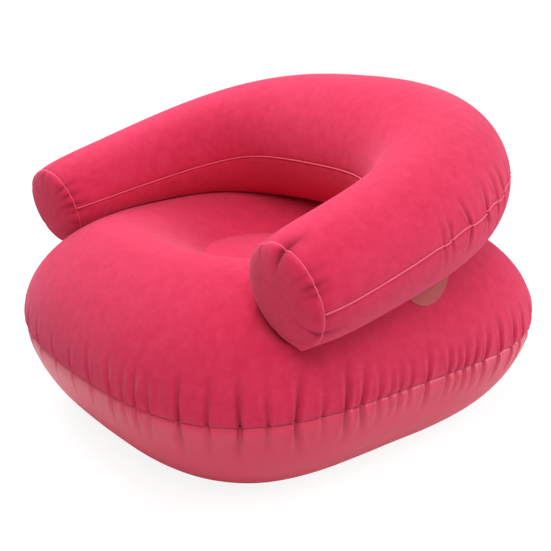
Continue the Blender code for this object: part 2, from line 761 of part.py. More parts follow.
def build():
    clear_scene()
    new_collection(COLLECTION_NAME)
    new_collection(CUTTER_COLLECTION_NAME, True)
    top = make_seat_top()
    bottom = make_seat_bottom()
    bead("seat_rim_weld", seat_ring(1, RIM_HEIGHT, RIM_TUCK), True)
    make_column()
    clearance = clearance_over(make_joints(solid_tree(top)))
    make_tube_sheet("backrest_upper_sheet", True, clearance)
    lower = make_tube_sheet("backrest_lower_sheet", False, clearance)
    make_long_weld("backrest_outer_weld", OUTER_WELD_DEG, clearance)
    make_long_weld("backrest_inner_weld", INNER_WELD_DEG, clearance)
    total = tube_length(tube_line()[0])[-1]
    make_arm_end("right", 0.0, -1, clearance)
    make_arm_end("left", total, 1, clearance)
    make_valve("seat", bottom, SEAT_VALVE_X, SEAT_VALVE_HEIGHT)
    make_valve("backrest", lower, BACKREST_VALVE_X, BACKREST_VALVE_HEIGHT)


build()
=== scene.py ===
"""The looks of the inflatable armchair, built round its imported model.

Velvety flocked sheets, a smooth PVC base, the welds between them with their puckers, the
clear patches under the tube and the two-in-one valves. Sizes are in metres. The sitter
faces -Y, so the sitter's left is at +X.
"""

import json
from math import cos, pi, radians, sin

import bpy
import numpy as np
from bpy.props import FloatProperty, FloatVectorProperty, PointerProperty
from mathutils import Matrix, Vector


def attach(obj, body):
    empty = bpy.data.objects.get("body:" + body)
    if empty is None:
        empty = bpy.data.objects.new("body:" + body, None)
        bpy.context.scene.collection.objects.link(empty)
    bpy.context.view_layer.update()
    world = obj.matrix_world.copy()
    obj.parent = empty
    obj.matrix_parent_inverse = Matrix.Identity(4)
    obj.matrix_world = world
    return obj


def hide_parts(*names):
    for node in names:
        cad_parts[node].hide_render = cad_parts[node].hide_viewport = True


bl_info = {
    "name": "Inflatable Armchair",
    "version": (1, 0, 0),
    "blender": (4, 5, 0),
    "location": "3D View > Sidebar > Armchair",
    "description": "Builds a flocked inflatable armchair with its welds, puckers and valves",
    "category": "Add Mesh",
}

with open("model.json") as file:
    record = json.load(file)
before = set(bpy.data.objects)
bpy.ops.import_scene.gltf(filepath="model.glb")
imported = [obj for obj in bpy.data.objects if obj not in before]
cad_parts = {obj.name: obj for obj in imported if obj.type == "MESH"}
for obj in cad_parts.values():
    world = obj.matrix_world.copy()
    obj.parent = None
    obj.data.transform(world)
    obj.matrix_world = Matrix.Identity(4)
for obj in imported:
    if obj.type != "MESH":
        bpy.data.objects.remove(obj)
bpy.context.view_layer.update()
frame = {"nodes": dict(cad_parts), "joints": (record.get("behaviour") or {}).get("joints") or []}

CHAIR = "chair"

# Fineness of the surfaces
RIM_COLUMNS = 1000
TUFT_ROWS = 22
DOME_ROWS = 34
DOME_ROW_POWER = 1.5
SHOULDER_ROWS = 44
SKIRT_ROWS = 8
HOLLOW_ROWS = 12
FOOT_ROWS = 4
WALL_ROWS = 30
TUBE_ROWS = 780
TUBE_COLUMNS = 116
CAP_ROWS = 40
CAP_COLUMNS = 240
BEAD_SIDES = 8
RING_STEPS = 400
TURNED_STEPS = 64
STRAP_STEPS = 24
STRAP_SIDES = 12
FINE_STEPS = 400
HALVINGS = 18
BALL_PROBES = 8
TINY = 1e-12

# Where the first row of a grid lies, beside the vertex that closes it
TOP_START_TURN = 0.02
BASE_START_SHARE = 0.01
CAP_START_TURN = 0.03
TURNED_START = 0.0002

# Shape of the seat that its sizes leave open
SEAT_CORNER_POWER = 3.5
SEAT_TAPER_SHARE = 0.096
SEAT_ROUND_REACH_SHARE = 0.5
DOME_CROWN_POWER = 2.61
DOME_SHOULDER_POWER = 1.924
BELLY_RISE = 0.021
FOOT_SHARE = 0.716
FOOT_INNER_SHARE = 0.5
WALL_POWER = 1.8
TUFT_PUFF = 0.014
TUFT_REACH_SHARE = 0.42
TUFT_EDGE_FACTOR = 0.9
TUFT_GROOVE_DEPTH = 0.0007
TUFT_GROOVE_WIDTH_SHARE = 0.022
BASE_TUFT_HEIGHT = 0.030
BASE_TUFT_PUFF = 0.010
MEMBRANE_DROP = 0.004
INNER_DOME_SHARE = 0.72

# Shape of the tube that its sizes leave open
BACK_CORNER_POWER = 2.615
ARM_END_INSET = 0.007
BEND_START = -0.130
BACK_REACH = 0.399
RISE_BOW_SHARE = -0.056
THICKENING_POWER = 2.0
CAP_PINCH_SHARE = 0.12
CAP_PINCH_REACH = 0.044
CAP_SHOULDER_RISE = 0.0035
CAP_SHOULDER_BULGE = 0.0009
CAP_FLATNESS = 2.15
OUTER_WELD_DEG = 7.0
INNER_WELD_DEG = 185.0
FRONT_TWIST_DEG = -11.5
BACK_TWIST_DEG = 7.0
WELD_CROWDING = 0.55
TUBE_CLEARANCE = 0.0018
DENT_LIMIT = 0.045
DENT_FRONT_REACH = 0.045
DENT_HOLD = 0.05
DENT_REAR_REACH = 0.12

# Beads of the welds: how far their middles stand out from the sheets, and their radii
BEAD_SEAT = 0.0012
END_BEAD_SEAT = 0.0005
END_BEAD_RADIUS = 0.0012
RIM_BEAD_SEAT = 0.0002
RIM_BEAD_RADIUS = 0.0008

# Creases: the section of a pucker's valley, with a low shoulder on both sides
CREASE_SEED = 11
CREASE_POWER = 1.25
CREASE_FADE_POWER = 1.2
CREASE_CUTOFF = 7
CREASE_START_WIDTH = 0.65
CREASE_WIDENING = 1.3
SHOULDER_SHARE = 0.35
SHOULDER_PLACE = 2.1
SHOULDER_WIDTH = 0.8

# Creases: their sizes at the welds of the tube and its ends
BEND_CREASE_WIDTH = 0.0034
END_CREASE_WIDTH = 0.0050
END_CREASE_DEPTH = 0.0030
END_CREASE_REACH = 0.045
CAP_CREASE_DEPTH = 0.0050
CAP_CREASE_REACH = 0.040
CAP_CREASE_INWARD = 0.6
CAP_CREASE_BACKWARD = 0.8
CAP_TIGHT_SHARE = 0.7
GROOVE_WIDTH = 0.005
OUTER_GROOVE_DEPTH = 0.0022
INNER_GROOVE_DEPTH = 0.0018
END_GROOVE_DEPTH = 0.0016
ZIGZAG_WIDTH = 0.014
ZIGZAG_DEPTH = 0.0024
WELD_TURN_REACH = 0.03

# An open weld counts as a ring of so many lengths, so that no crease comes round its end
OPEN_WRAP = 4

# Creases: where they lie, in degrees round the seat, metres along the tube from its end or
# degrees round an end, with their strengths and, at the ends, a factor on their width
SEAT_FRONT_CREASES = (
    (-126, 0.45), (-121, 0.35), (-115, 0.45), (-107, 0.35), (-98, 0.3), (-90, 0.35),
    (-81.5, 0.45), (-74, 0.6), (-70.4, 0.5), (-66.8, 0.7), (-63.2, 0.55), (-56.8, 1.0),
    (-51.3, 0.75), (-45.5, 1.0), (-40.5, 0.6), (-35.5, 0.9), (-30.3, 0.4), (-25.1, 0.85),
    (-21.4, 0.7), (-17, 0.45), (-14, 0.3), (-11, 0.4), (-8, 0.35), (-2.5, 0.6), (4, 0.5),
    (6.7, 0.35), (9.5, 0.5), (12.3, 0.55), (16, 0.6), (21.5, 0.75), (26.7, 0.8), (31, 0.7),
    (37, 0.7), (43, 0.8),
)
LEFT_BEND_CREASES = (
    (0.243, 0.35), (0.262, 0.55), (0.310, 0.9), (0.355, 1.0), (0.392, 0.8), (0.420, 0.9),
    (0.450, 0.7), (0.482, 0.9), (0.515, 0.6), (0.552, 0.8), (0.590, 0.5), (0.640, 0.3),
)
NEAR_END_CREASES = (
    (76, 1.5, 1.3), (112, 0.6, 1), (40, 0.45, 1), (27, 0.9, 1), (18, 0.6, 1), (331, 0.9, 1),
    (352, 0.25, 1), (288, -1.2, 2.6), (245, 0.25, 1),
)
FAR_END_CREASES = (
    (138, 0.7, 1), (152, 0.9, 1), (167, 1.0, 1), (178, 0.6, 1), (196, 0.5, 1), (60, 0.4, 1),
    (95, 0.5, 1), (30, 0.4, 1), (230, 0.5, 1), (270, 0.4, 1), (320, 0.5, 1),
)

# Creases: ranges of the seeded draws
RIM_SPACING = (0.024, 0.050)
RIM_STRENGTH = (0.6, 1.25)
RIM_SLANT = (-0.12, 0.12)
BACK_SPACING = (0.04, 0.075)
BACK_STRENGTH = (0.15, 0.35)
BACK_LENGTH = (0.6, 1.0)
BEND_SLANT = (-0.2, 0.2)
BEND_LENGTH = (0.7, 1.1)
BEND_SHIFT = (-0.012, 0.012)
END_LENGTH = (0.6, 1.2)

# Creases: the gap before the drawn ones end, how length grows with strength, and how strong
# they are along the sides and how much more so at the corners
RIM_END_GAP = 0.02
RIM_LEAST_LENGTH = 0.55
RIM_LENGTH_GROWTH = 0.5
RIM_SIDE_STRENGTH = 0.35
RIM_CORNER_STRENGTH = 0.45

# Soft swellings: waves round the rim, height, seed and how they fade in
SWELL_WAVES = (5, 9, 14, 23)
SWELL_DRIFT = (3, 11)
TOP_SWELL = (0.0006, 5)
TOP_SWELL_FADE = 0.05
TOP_CALM_RADIUS = 0.3
BASE_SWELL = (0.0005, 8)
BASE_SWELL_FADE = 0.04
BASE_CALM_HEIGHT = 0.03

# Valves, measured along their axis from the sheet's outer face; a tab's rows are each a share
# of its outline and a level
VALVE_BORE_RADIUS = 0.013
VALVE_WALL = 0.0012
VALVE_LIP_RISE = 0.0012
VALVE_SLEEVE_DEPTH = 0.010
VALVE_FLAT_RADIUS = 0.023
VALVE_FLAT_REACH = 0.024
VALVE_WELD_RADIUS = 0.0195
VALVE_WELD_DROP = 0.0012
VALVE_WELD_EDGE = 0.0004
VALVE_WELD_RISE = 0.0005
PLUG_HEAD_RADIUS = 0.0165
PLUG_HEAD_THICKNESS = 0.0012
PLUG_DEPTH = 0.009
NECK_BORE_RADIUS = 0.0055
NECK_RISE = 0.0018
FLAP_OVERLAP = 0.0005
FLAP_THICKNESS = 0.0006
STOPPER_HEAD_RADIUS = 0.009
STOPPER_HEAD_THICKNESS = 0.0012
STOPPER_DEPTH = 0.008
STOPPER_WALL = 0.001
TAB_LENGTH = 0.005
TAB_WIDTH = 0.006
TAB_ROWS = ((0.85, 1), (1, 0.6), (1, -0.6), (0.85, -1))
TAB_THICKNESS_SHARE = 0.4
STRAP_WIDTH = 0.0035
STRAP_THICKNESS = 0.0008
STRAP_RISE = 0.0016
FIT_GAP = 0.0003
CHAMFER = 0.0003
POCKET_DEPTH = 0.026
SHARP_DEG = 35
NECK_RADIUS = NECK_BORE_RADIUS + VALVE_WALL
SLEEVE_RADIUS = VALVE_BORE_RADIUS + VALVE_WALL

# Patterns of the finishes
NAP_SCALES = {"Patch Scale": 22.0, "Grain Scale": 900.0, "Speck Scale": 16.0}
PATCH_NOISE = {"Detail": 5.0, "Roughness": 0.68, "Distortion": 0.2}
PATCH_SPREAD = {"From Min": 0.33, "From Max": 0.67}
GRAIN_DETAIL = 2.0
SPECK_EDGE = {"From Min": 0.016, "From Max": 0.008}
SHEET_SCALES = {"Ripple Scale": 14.0, "Cloud Scale": 40.0}
SHEET_DETAILS = {"Ripple": 1.5, "Cloud": 4.0}

# Finish of the flock
NAP_ROUGHNESS = 0.92
NAP_SHEEN = {"Sheen Weight": 0.14, "Sheen Roughness": 0.55, "Sheen Tint": (1.0, 0.80, 1.0, 1)}
NAP_BUMP = (0.22, 0.0006)
# Painted shade in the creases: the share of the mix at full crease, and the factor on the dark
# grain tone
NAP_PAINTED_SHADE_SHARE = 0.8
NAP_PAINTED_SHADE_FACTOR = 0.3
GRAIN_SHARES = (0.50, -0.30)
GRAIN_SHADE = 0.9
LINT_SHARE = 0.5
LINT_LIGHTENING = 0.18

# Smooth finishes: colour, roughness, coat, strength of the ripples and their height
SMOOTH_FINISHES = {
    "base sheet": ("gloss", 0.40, 0.0, 0.5, 0.003),
    "weld bead": ("weld", 0.60, 0.0, 0.2, 0.001),
    "rim bead": ("rim", 0.75, 0.0, 0.2, 0.001),
    "clear patch": ("clear", 0.65, 0.0, 0.2, 0.001),
    "moulded valve": ("valve", 0.36, 0.1, 0.1, 0.0005),
}
COAT_ROUGHNESS = 0.18
CLOUD_FACTOR = 1.06
CLOUD_LIGHTENING = 0.012
CLOUD_ROUGHNESS = (-0.04, 0.05)
# Painted shade in the creases of the smooth sheets: the share of the mix at full crease, and the
# factor on the colour
SHEET_PAINTED_SHADE_SHARE = 0.9
SHEET_PAINTED_SHADE_FACTOR = 0.45

# Lamps round the stage, and the floor
LAMP_SIZE = 1.8
LAMP_AIM_HEIGHT = 0.3
COOL_LIGHT = (0.94, 1.0, 1.0)
WARM_LIGHT = (1.0, 0.80, 0.82)
LAMPS = {
    "top": ((0.0, 0.0, 2.7), COOL_LIGHT),
    "right": ((1.55, 1.62, 1.20), COOL_LIGHT),
    "front": ((1.17, -1.01, 2.14), WARM_LIGHT),
    "rear": ((-1.69, -0.12, 2.00), COOL_LIGHT),
}
WHITE = (1, 1, 1, 1)
SENSOR_WIDTH = 36
FLOOR_RADIUS = 9.0
FLOOR_SIDES = 96
FLOOR_DROP = 0.0002
FLOOR_GREY = (0.86, 0.86, 0.86, 1)
FLOOR_ROUGHNESS = 0.9
FLOOR_GLOW = 1.1
FLOOR_GLOW_SHARE = 0.8
FLOOR_GLOW_START = 0.6
FLOOR_GLOW_END = 1.5


def as_length(name, description, default):
    return FloatProperty(name=name, description=description, default=default, unit="LENGTH")


def as_angle(name, description, degrees):
    default = radians(degrees)
    return FloatProperty(name=name, description=description, default=default, subtype="ANGLE")


def as_number(name, description, default):
    return FloatProperty(name=name, description=description, default=default)


def as_colour(name, description, default):
    return FloatVectorProperty(
        name=name, description=description, default=default, subtype="COLOR", size=3, min=0, max=1
    )


class SeatSizes(bpy.types.PropertyGroup):
    """Sizes of the seat cushion."""

    half_width: as_length("Half width", "From the middle to the side weld", 0.480)
    half_depth: as_length("Half depth", "From the middle to the front weld", 0.499)
    rim_height: as_length("Rim height", "Height of the weld round the seat", 0.186)
    rim_tuck: as_length("Rim tuck", "How far the weld is drawn in", 0.0055)
    dome_rise: as_length("Dome rise", "Height of the dome without its dimple", 0.245)
    tuft_radius: as_length("Tuft radius", "Radius of the round pull in the middle", 0.142)
    tuft_height: as_length("Tuft height", "Height of the bottom of the dimple", 0.332)
    crease_depth: as_length("Crease depth", "Depth of the strongest pucker", 0.0120)
    crease_width: as_length("Crease width", "Half width of a pucker at the weld", 0.0046)
    upper_reach: as_length("Upper reach", "Length of the puckers over the weld", 0.105)
    lower_reach: as_length("Lower reach", "Length of the puckers under the weld", 0.080)


class TubeSizes(bpy.types.PropertyGroup):
    """Sizes of the tube that forms the backrest and the arms."""

    arm_spread: as_length("Arm spread", "From the middle to an arm's centre line", 0.413)
    arm_front: as_length("Arm front", "How far forward the arms reach", 0.308)
    arm_height: as_length("Arm height", "Height of the centre line at the arm ends", 0.4055)
    back_height: as_length("Back height", "Height of the centre line at the back", 0.545)
    arm_radius: as_length("Arm radius", "Radius of the tube at the arms", 0.1035)
    back_radius: as_length("Back radius", "Radius of the tube at the back", 0.1554)
    cap_bulge: as_length("Cap bulge", "How far an end cap bulges", 0.025)
    crease_depth: as_length("Crease depth", "Depth of the strongest pucker", 0.0056)
    upper_reach: as_length("Upper reach", "Length of the puckers over the outer weld", 0.070)
    lower_reach: as_length("Lower reach", "Length of the puckers under the outer weld", 0.065)
    bead_radius: as_length("Bead radius", "Half the width of a weld's bead", 0.0017)


class Finishes(bpy.types.PropertyGroup):
    """Colours and surface of the sheets."""

    flock: as_colour("Flock", "Colour of the velvety nap", (0.638, 0.0405, 0.102))
    flock_shade: as_colour("Flock shade", "Nap brushed the other way", (0.564, 0.0275, 0.077))
    gloss: as_colour("Base sheet", "Colour of the smooth sheet", (0.600, 0.026, 0.080))
    weld: as_colour("Weld", "Colour of the weld beads", (0.654, 0.076, 0.144))
    rim: as_colour("Rim weld", "Colour of the bead in the seat's seam", (0.471, 0.026, 0.065))
    clear: as_colour("Clear sheet", "Colour of the patches under the tube", (0.410, 0.040, 0.044))
    valve: as_colour("Valve", "Colour of the moulded valves", (0.490, 0.042, 0.095))
    nap_size: as_length("Nap size", "Size of the tufts of the nap", 0.0018)
    mottle_size: as_length("Mottle size", "Size of the brushed patches", 0.022)


class StageSizes(bpy.types.PropertyGroup):
    """Camera, lamps and floor."""

    azimuth: as_angle("Azimuth", "Where the camera stands", 49.13)
    elevation: as_angle("Elevation", "How high the camera looks from", 18.356)
    distance: as_length("Distance", "From the camera to its aim", 1.7292)
    focal_length: as_number("Focal length", "In millimetres on a 36 mm sensor", 49.83)
    aim_height: as_length("Aim height", "Height of the aim", 0.288)
    aim_right: as_length("Aim right", "Aim to the right", 0.0142)
    aim_up: as_length("Aim up", "Aim up the picture", -0.01766)
    ambient: as_number("Ambient", "Strength of the white surroundings", 0.12)
    top_power: as_number("Top lamp", "Power of the lamp overhead", 14.5)
    right_power: as_number("Right lamp", "Power of the lamp at the right", 36.5)
    front_power: as_number("Front lamp", "Power of the lamp by the camera", 40.5)
    rear_power: as_number("Rear lamp", "Power of the lamp behind", 66.0)


def smooth(share):
    """Rises from 0 to 1 as 3 t^2 - 2 t^3."""
    share = np.clip(share, 0, 1)
    return share * share * (3 - 2 * share)


def bell(away, width):
    """Falls off on both sides as exp(-(away / width)^2)."""
    return np.exp(-((away / width) ** 2))


def fading(away, reach):
    """Falls from 1 at a weld to 0 at the reach as (1 - away / reach)^q."""
    return (1 - np.clip(away / reach, 0, 1)) ** CREASE_FADE_POWER


def unit(vectors):
    """The same directions at length 1."""
    return vectors / np.maximum(np.linalg.norm(vectors, axis=-1, keepdims=True), TINY)


def turns(count):
    """Even angles once round."""
    return np.arange(count) * 2 * pi / count


def squircle(angles):
    """Radius of |x|^4 + |y|^4 = 1 at these angles."""
    return (np.abs(np.cos(angles)) ** 4 + np.abs(np.sin(angles)) ** 4) ** -0.25


def round_about(angles, first, second):
    """Directions at these angles in the plane of two axes."""
    return first * np.cos(angles)[..., None] + second * np.sin(angles)[..., None]


def ring_points(angles, radius, height):
    """Points at these angles, distances from the middle and heights."""
    height = np.broadcast_to(height, radius.shape)
    return np.stack([radius * np.cos(angles), radius * np.sin(angles), height], -1)


def seat_radius(angle, share, seat):
    """Plan radius: a circle at the tuft that blends into |x/a|^n + |y/b|^n = 1 at the rim."""
    x, y = np.cos(angle), np.sin(angle)
    square = np.abs(x / seat.half_width) ** SEAT_CORNER_POWER
    square = square + np.abs(y / seat.half_depth) ** SEAT_CORNER_POWER
    square = square ** (-1 / SEAT_CORNER_POWER) * (1 + SEAT_TAPER_SHARE * y * x * x)
    tuft_share = seat.tuft_radius / seat.half_width
    squareness = smooth((share - tuft_share) / SEAT_ROUND_REACH_SHARE)
    return share * (seat.half_width + squareness * (square - seat.half_width))


def seat_height(share, seat):
    """Dome (1 - s^p)^(1/q), less a pull that fades as (1 - t)^2 (1 + a t); a low puff inside."""
    share = np.asarray(share, float)
    tuft = seat.tuft_radius / seat.half_width

    def dome(s):
        rise = (1 - np.clip(s, 0, 1) ** DOME_CROWN_POWER) ** (1 / DOME_SHOULDER_POWER)
        return seat.rim_height + BELLY_RISE + seat.dome_rise * rise

    pull = dome(tuft) - seat.tuft_height
    fade = np.clip((share - tuft) / TUFT_REACH_SHARE, 0, 1)
    outside = dome(np.maximum(share, tuft)) - pull * (1 - fade) ** 2 * (1 + TUFT_EDGE_FACTOR * fade)
    inside = seat.tuft_height + TUFT_PUFF * (1 - (share / tuft) ** 2)
    groove = TUFT_GROOVE_DEPTH * bell(share - tuft, TUFT_GROOVE_WIDTH_SHARE)
    return np.where(share < tuft, inside, outside) - groove


def tube_height(back, tube):
    """Height of the centre line: it rises with the share towards the back, with a slight bow."""
    bow = RISE_BOW_SHARE * back * (1 - back)
    return tube.arm_height + (tube.back_height - tube.arm_height) * (back + bow)


def tube_radius(back, from_cap, tube):
    """Thickens as a power of the share towards the back; exp(-d) draws it in near a cap."""
    radius = tube.arm_radius + (tube.back_radius - tube.arm_radius) * back**THICKENING_POWER
    return radius * (1 - CAP_PINCH_SHARE * np.exp(-from_cap / CAP_PINCH_REACH))


def arm_dent(x, y, height, tube):
    """How far an arm's end pushes the seat down, where its round underside would sink in.

    The underside is the tube's circle over a place; the push fades ahead of the cap and where
    the arm flattens instead.
    """
    ahead = y + tube.arm_front
    run = np.clip(ahead / (BEND_START + tube.arm_front), 0, 1)
    aside = np.abs(x) - (tube.arm_spread - ARM_END_INSET * (1 - run) ** 2)
    back = np.clip(ahead / (BEND_START + BACK_REACH + tube.arm_front), 0, 1)
    radius = tube_radius(back, np.clip(ahead, 0, None), tube)
    under = tube_height(back, tube) - np.sqrt(np.clip(radius**2 - aside**2, 0, None))
    sink = np.clip(height + TUBE_CLEARANCE - under, 0, DENT_LIMIT)
    sink = np.where(np.abs(aside) < radius, sink, 0)
    weight = 1 - smooth((ahead - DENT_HOLD) / DENT_REAR_REACH)
    return sink * ((1 - smooth(-ahead / DENT_FRONT_REACH)) * weight)


def seat_height_at(x, y, seat):
    """Height of the dented seat over a place on the floor, by halving the range of shares."""
    angle, radius = np.arctan2(y, x), np.hypot(x, y)
    low, high = np.zeros_like(radius), np.ones_like(radius)
    for _ in range(HALVINGS):
        middle = (low + high) / 2
        is_inside = seat_radius(angle, middle, seat) < radius
        low = np.where(is_inside, middle, low)
        high = np.where(is_inside, high, middle)
    height = np.where(seat_radius(angle, 1.0, seat) > radius, seat_height(low, seat), 0.0)
    return height - arm_dent(x, y, height, bpy.context.scene.armchair_tube)


def height_clear_of_seat(x, y, radius, seat):
    """The height at which the middle of a ball of this radius rests on the seat."""
    aside = radius * sin(pi / 4)
    height = seat_height_at(x, y, seat) + radius
    for i in range(BALL_PROBES):
        turn = 2 * pi * i / BALL_PROBES
        beside = seat_height_at(x + aside * cos(turn), y + aside * sin(turn), seat)
        height = np.maximum(height, beside + aside)
    return height


def grid_normals(points, sign):
    """Unit cross product of a wrapped grid's differences along its columns and its rows."""
    across = np.roll(points, -1, 1) - np.roll(points, 1, 1)
    return unit(np.cross(across, np.gradient(points, axis=0)) * sign)


def crease_field(u, v, creases, total, width, reach):
    """Sum of valleys on a grid with arc places u per column and weld distances v.

    Across a valley the depth follows exp(-|t|^p) with a low shoulder on both sides. Along it
    the valley widens and fades as (1 - v / reach)^q.
    """
    field = np.zeros_like(v)
    for place, strength, slant, length in creases:
        away = (u - place + total / 2) % total - total / 2
        near = np.flatnonzero(np.abs(away) < CREASE_CUTOFF * width)
        share = np.clip(v[:, near] / (reach * length), 0, 1)
        wide = width * (CREASE_START_WIDTH + CREASE_WIDENING * share)
        across = np.abs((away[near] - slant * v[:, near]) / wide)
        shoulder = SHOULDER_SHARE * bell(across - SHOULDER_PLACE, SHOULDER_WIDTH)
        valley = np.exp(-(across**CREASE_POWER)) - shoulder
        field[:, near] -= strength * valley * (1 - share) ** CREASE_FADE_POWER
    return field


def grid_faces(rows, columns, is_flipped=False):
    """Quads between neighbouring rows and columns of a wrapped grid of vertices."""
    near = np.arange(rows * columns).reshape(rows, columns)
    far = np.roll(near, -1, 1)
    quads = np.stack([near[:-1], far[:-1], far[1:], near[1:]], -1).reshape(-1, 4)
    return quads[:, ::-1] if is_flipped else quads


def pole_faces(ring, pole, is_flipped):
    """Triangles from one vertex to a closed ring of vertices."""
    fan = np.stack([np.full_like(ring, pole), np.roll(ring, -1), ring], -1)
    return fan[:, ::-1] if is_flipped else fan


def new_piece(name, points, faces, material, body, creases=None):
    """A smooth mesh object that rides on a body, with how deep it is creased at each vertex."""
    mesh = bpy.data.meshes.new(name)
    polygons = [face for group in faces for face in group.tolist()]
    mesh.from_pydata(points.reshape(-1, 3).tolist(), [], polygons)
    mesh.shade_smooth()
    if creases is not None:
        mesh.attributes.new("crease", "FLOAT", "POINT").data.foreach_set("value", creases)
    mesh.materials.append(material)
    piece = bpy.data.objects.new(name, mesh)
    bpy.context.scene.collection.objects.link(piece)
    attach(piece, body)
    return piece


def closed_grid(name, points, start, end, material, slot, body=CHAIR, is_flipped=False, field=None):
    """A piece from a grid whose rows are rings, closed by a vertex at each end.

    The valleys of a field are its creases.
    """
    rows, columns = points.shape[:2]
    vertices = np.concatenate([points.reshape(-1, 3), [start], [end]])
    creases = None
    if field is not None:
        creases = np.concatenate([np.clip(-field, 0, 1).reshape(-1), [0, 0]])
    first, last = np.arange(columns), np.arange(columns) + (rows - 1) * columns
    faces = [
        grid_faces(rows, columns, is_flipped),
        pole_faces(first, rows * columns, is_flipped),
        pole_faces(last, rows * columns + 1, not is_flipped),
    ]
    return new_piece(name, vertices, faces, material, body, creases)


def closed_loop(name, points, material, body=CHAIR):
    """A piece from a grid whose rows are rings and whose last row meets the first."""
    rows, columns = points.shape[:2]
    quads = grid_faces(rows + 1, columns) % (rows * columns)
    return new_piece(name, points, [quads], material, body)


def bead_along(name, path, normals, radius, material, is_ring):
    """A round bead carried along a path on a sheet with these normals."""
    along = np.roll(path, -1, 0) - np.roll(path, 1, 0) if is_ring else np.gradient(path, axis=0)
    along = unit(along)
    side = unit(np.cross(along, normals))
    rise = np.cross(side, along)
    points = path[:, None] + radius * round_about(turns(BEAD_SIDES), side[:, None], rise[:, None])
    if is_ring:
        return closed_loop(name, points, material)
    return closed_grid(name, points, path[0], path[-1], material, "weld")


def rim_columns(seat):
    """Angles spaced evenly along the rim, their arc places, the rim's length and its scale."""
    fine = np.linspace(-pi, pi, 4 * FINE_STEPS + 1)
    radius = seat_radius(fine, 1.0, seat)
    x, y = radius * np.cos(fine), radius * np.sin(fine)
    length = np.concatenate([[0], np.cumsum(np.hypot(np.diff(x), np.diff(y)))])
    even = np.linspace(0, length[-1], RIM_COLUMNS, endpoint=False)
    return np.interp(even, length, fine), even, length[-1], (fine, length)


def rim_creases(seat):
    """Places, strengths, slants and lengths: the front's listed, and the rest by a seeded draw."""
    rng = np.random.default_rng(CREASE_SEED)
    _, _, total, (fine, length) = rim_columns(seat)
    creases = []

    def add(place, strength):
        reach_share = RIM_LEAST_LENGTH + RIM_LENGTH_GROWTH * strength
        creases.append((place, strength, rng.uniform(*RIM_SLANT), reach_share))

    for degrees, strength in SEAT_FRONT_CREASES:
        add(np.interp(radians(degrees), fine, length), strength)
    place, stop = creases[-1][0], creases[0][0] + total
    while True:
        place += rng.uniform(*RIM_SPACING)
        if place > stop - RIM_END_GAP:
            return creases
        corner = abs(sin(2 * np.interp(place % total, length, fine))) ** 2
        strength = RIM_SIDE_STRENGTH + RIM_CORNER_STRENGTH * corner
        add(place % total, strength * rng.uniform(*RIM_STRENGTH))


def weld_distances(points):
    """How far each grid point is from the last row along the sheet."""
    steps = np.linalg.norm(np.diff(points, axis=0), axis=-1)
    start = np.zeros((1, points.shape[1]))
    return np.concatenate([start, np.cumsum(steps[::-1], axis=0)])[::-1]


def soft_swell(u, v, total, height, seed):
    """Long shallow swellings: a few sines along the weld with seeded phases."""
    rng = np.random.default_rng(seed)
    swell = np.zeros_like(v)
    for waves in SWELL_WAVES:
        phase, drift = rng.uniform(0, 2 * pi), rng.uniform(*SWELL_DRIFT)
        swell = swell + np.sin(2 * pi * waves * u / total + phase + drift * v) / waves**0.5
    return height * swell


def creased_sheet(points, seat, reach, sign):
    """Moves a seat sheet's grid along its normals by the puckers of the rim.

    At the weld the moves are level, and a little way off they turn to the sheet's normals.
    """
    _, even, total, _ = rim_columns(seat)
    away = weld_distances(points)
    normals = grid_normals(points, sign)
    outward = unit(normals[-1] * (1, 1, 0))
    blend = smooth(away / WELD_TURN_REACH)[..., None]
    normals = unit(outward * (1 - blend) + normals * blend)
    field = crease_field(even, away, rim_creases(seat), total, seat.crease_width, reach)
    return points + normals * (seat.crease_depth * field)[..., None], normals, away, field


def make_seat_top(seat, material):
    """The flocked dome: rings of the plan curve at the heights of their shares, then the skirt."""
    angles, even, total, _ = rim_columns(seat)
    tuft = seat.tuft_radius / seat.half_width
    inner = tuft * np.sin(np.linspace(TOP_START_TURN, pi / 2, TUFT_ROWS))
    outer = np.linspace(0, 1, DOME_ROWS, endpoint=False)[1:] ** DOME_ROW_POWER
    outer = tuft + (INNER_DOME_SHARE - tuft) * outer
    shoulder = np.sin(np.linspace(0, pi / 2, SHOULDER_ROWS))
    shoulder = INNER_DOME_SHARE + (1 - INNER_DOME_SHARE) * shoulder
    shares = np.concatenate([inner, outer, shoulder])[:, None]
    radius = seat_radius(angles[None], shares, seat)
    turn = np.linspace(0, pi / 2, SKIRT_ROWS + 1)[1:, None]
    skirt_radius = seat_radius(angles[None], 1.0, seat) - seat.rim_tuck * (1 - np.cos(turn))
    skirt_height = seat.rim_height + BELLY_RISE * (1 - np.sin(turn))
    radius = np.concatenate([radius, skirt_radius])
    height = np.concatenate([seat_height(shares, seat), skirt_height])
    points = ring_points(angles, radius, height)
    x, y, z = points[..., 0], points[..., 1], points[..., 2]
    points[..., 2] -= arm_dent(x, y, z, bpy.context.scene.armchair_tube)
    points, normals, away, field = creased_sheet(points, seat, seat.upper_reach, -1)
    ripple = soft_swell(even, away, total, *TOP_SWELL)
    ripple = ripple * smooth(away / TOP_SWELL_FADE) * smooth(radius / TOP_CALM_RADIUS)
    points = points + normals * ripple[..., None]
    crown = (0, 0, float(seat_height(0.0, seat)))
    bottom = (0, 0, seat.rim_height + MEMBRANE_DROP)
    piece = closed_grid("seat_top", points, crown, bottom, material, "flock", field=field)
    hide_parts("seat_top_sheet")


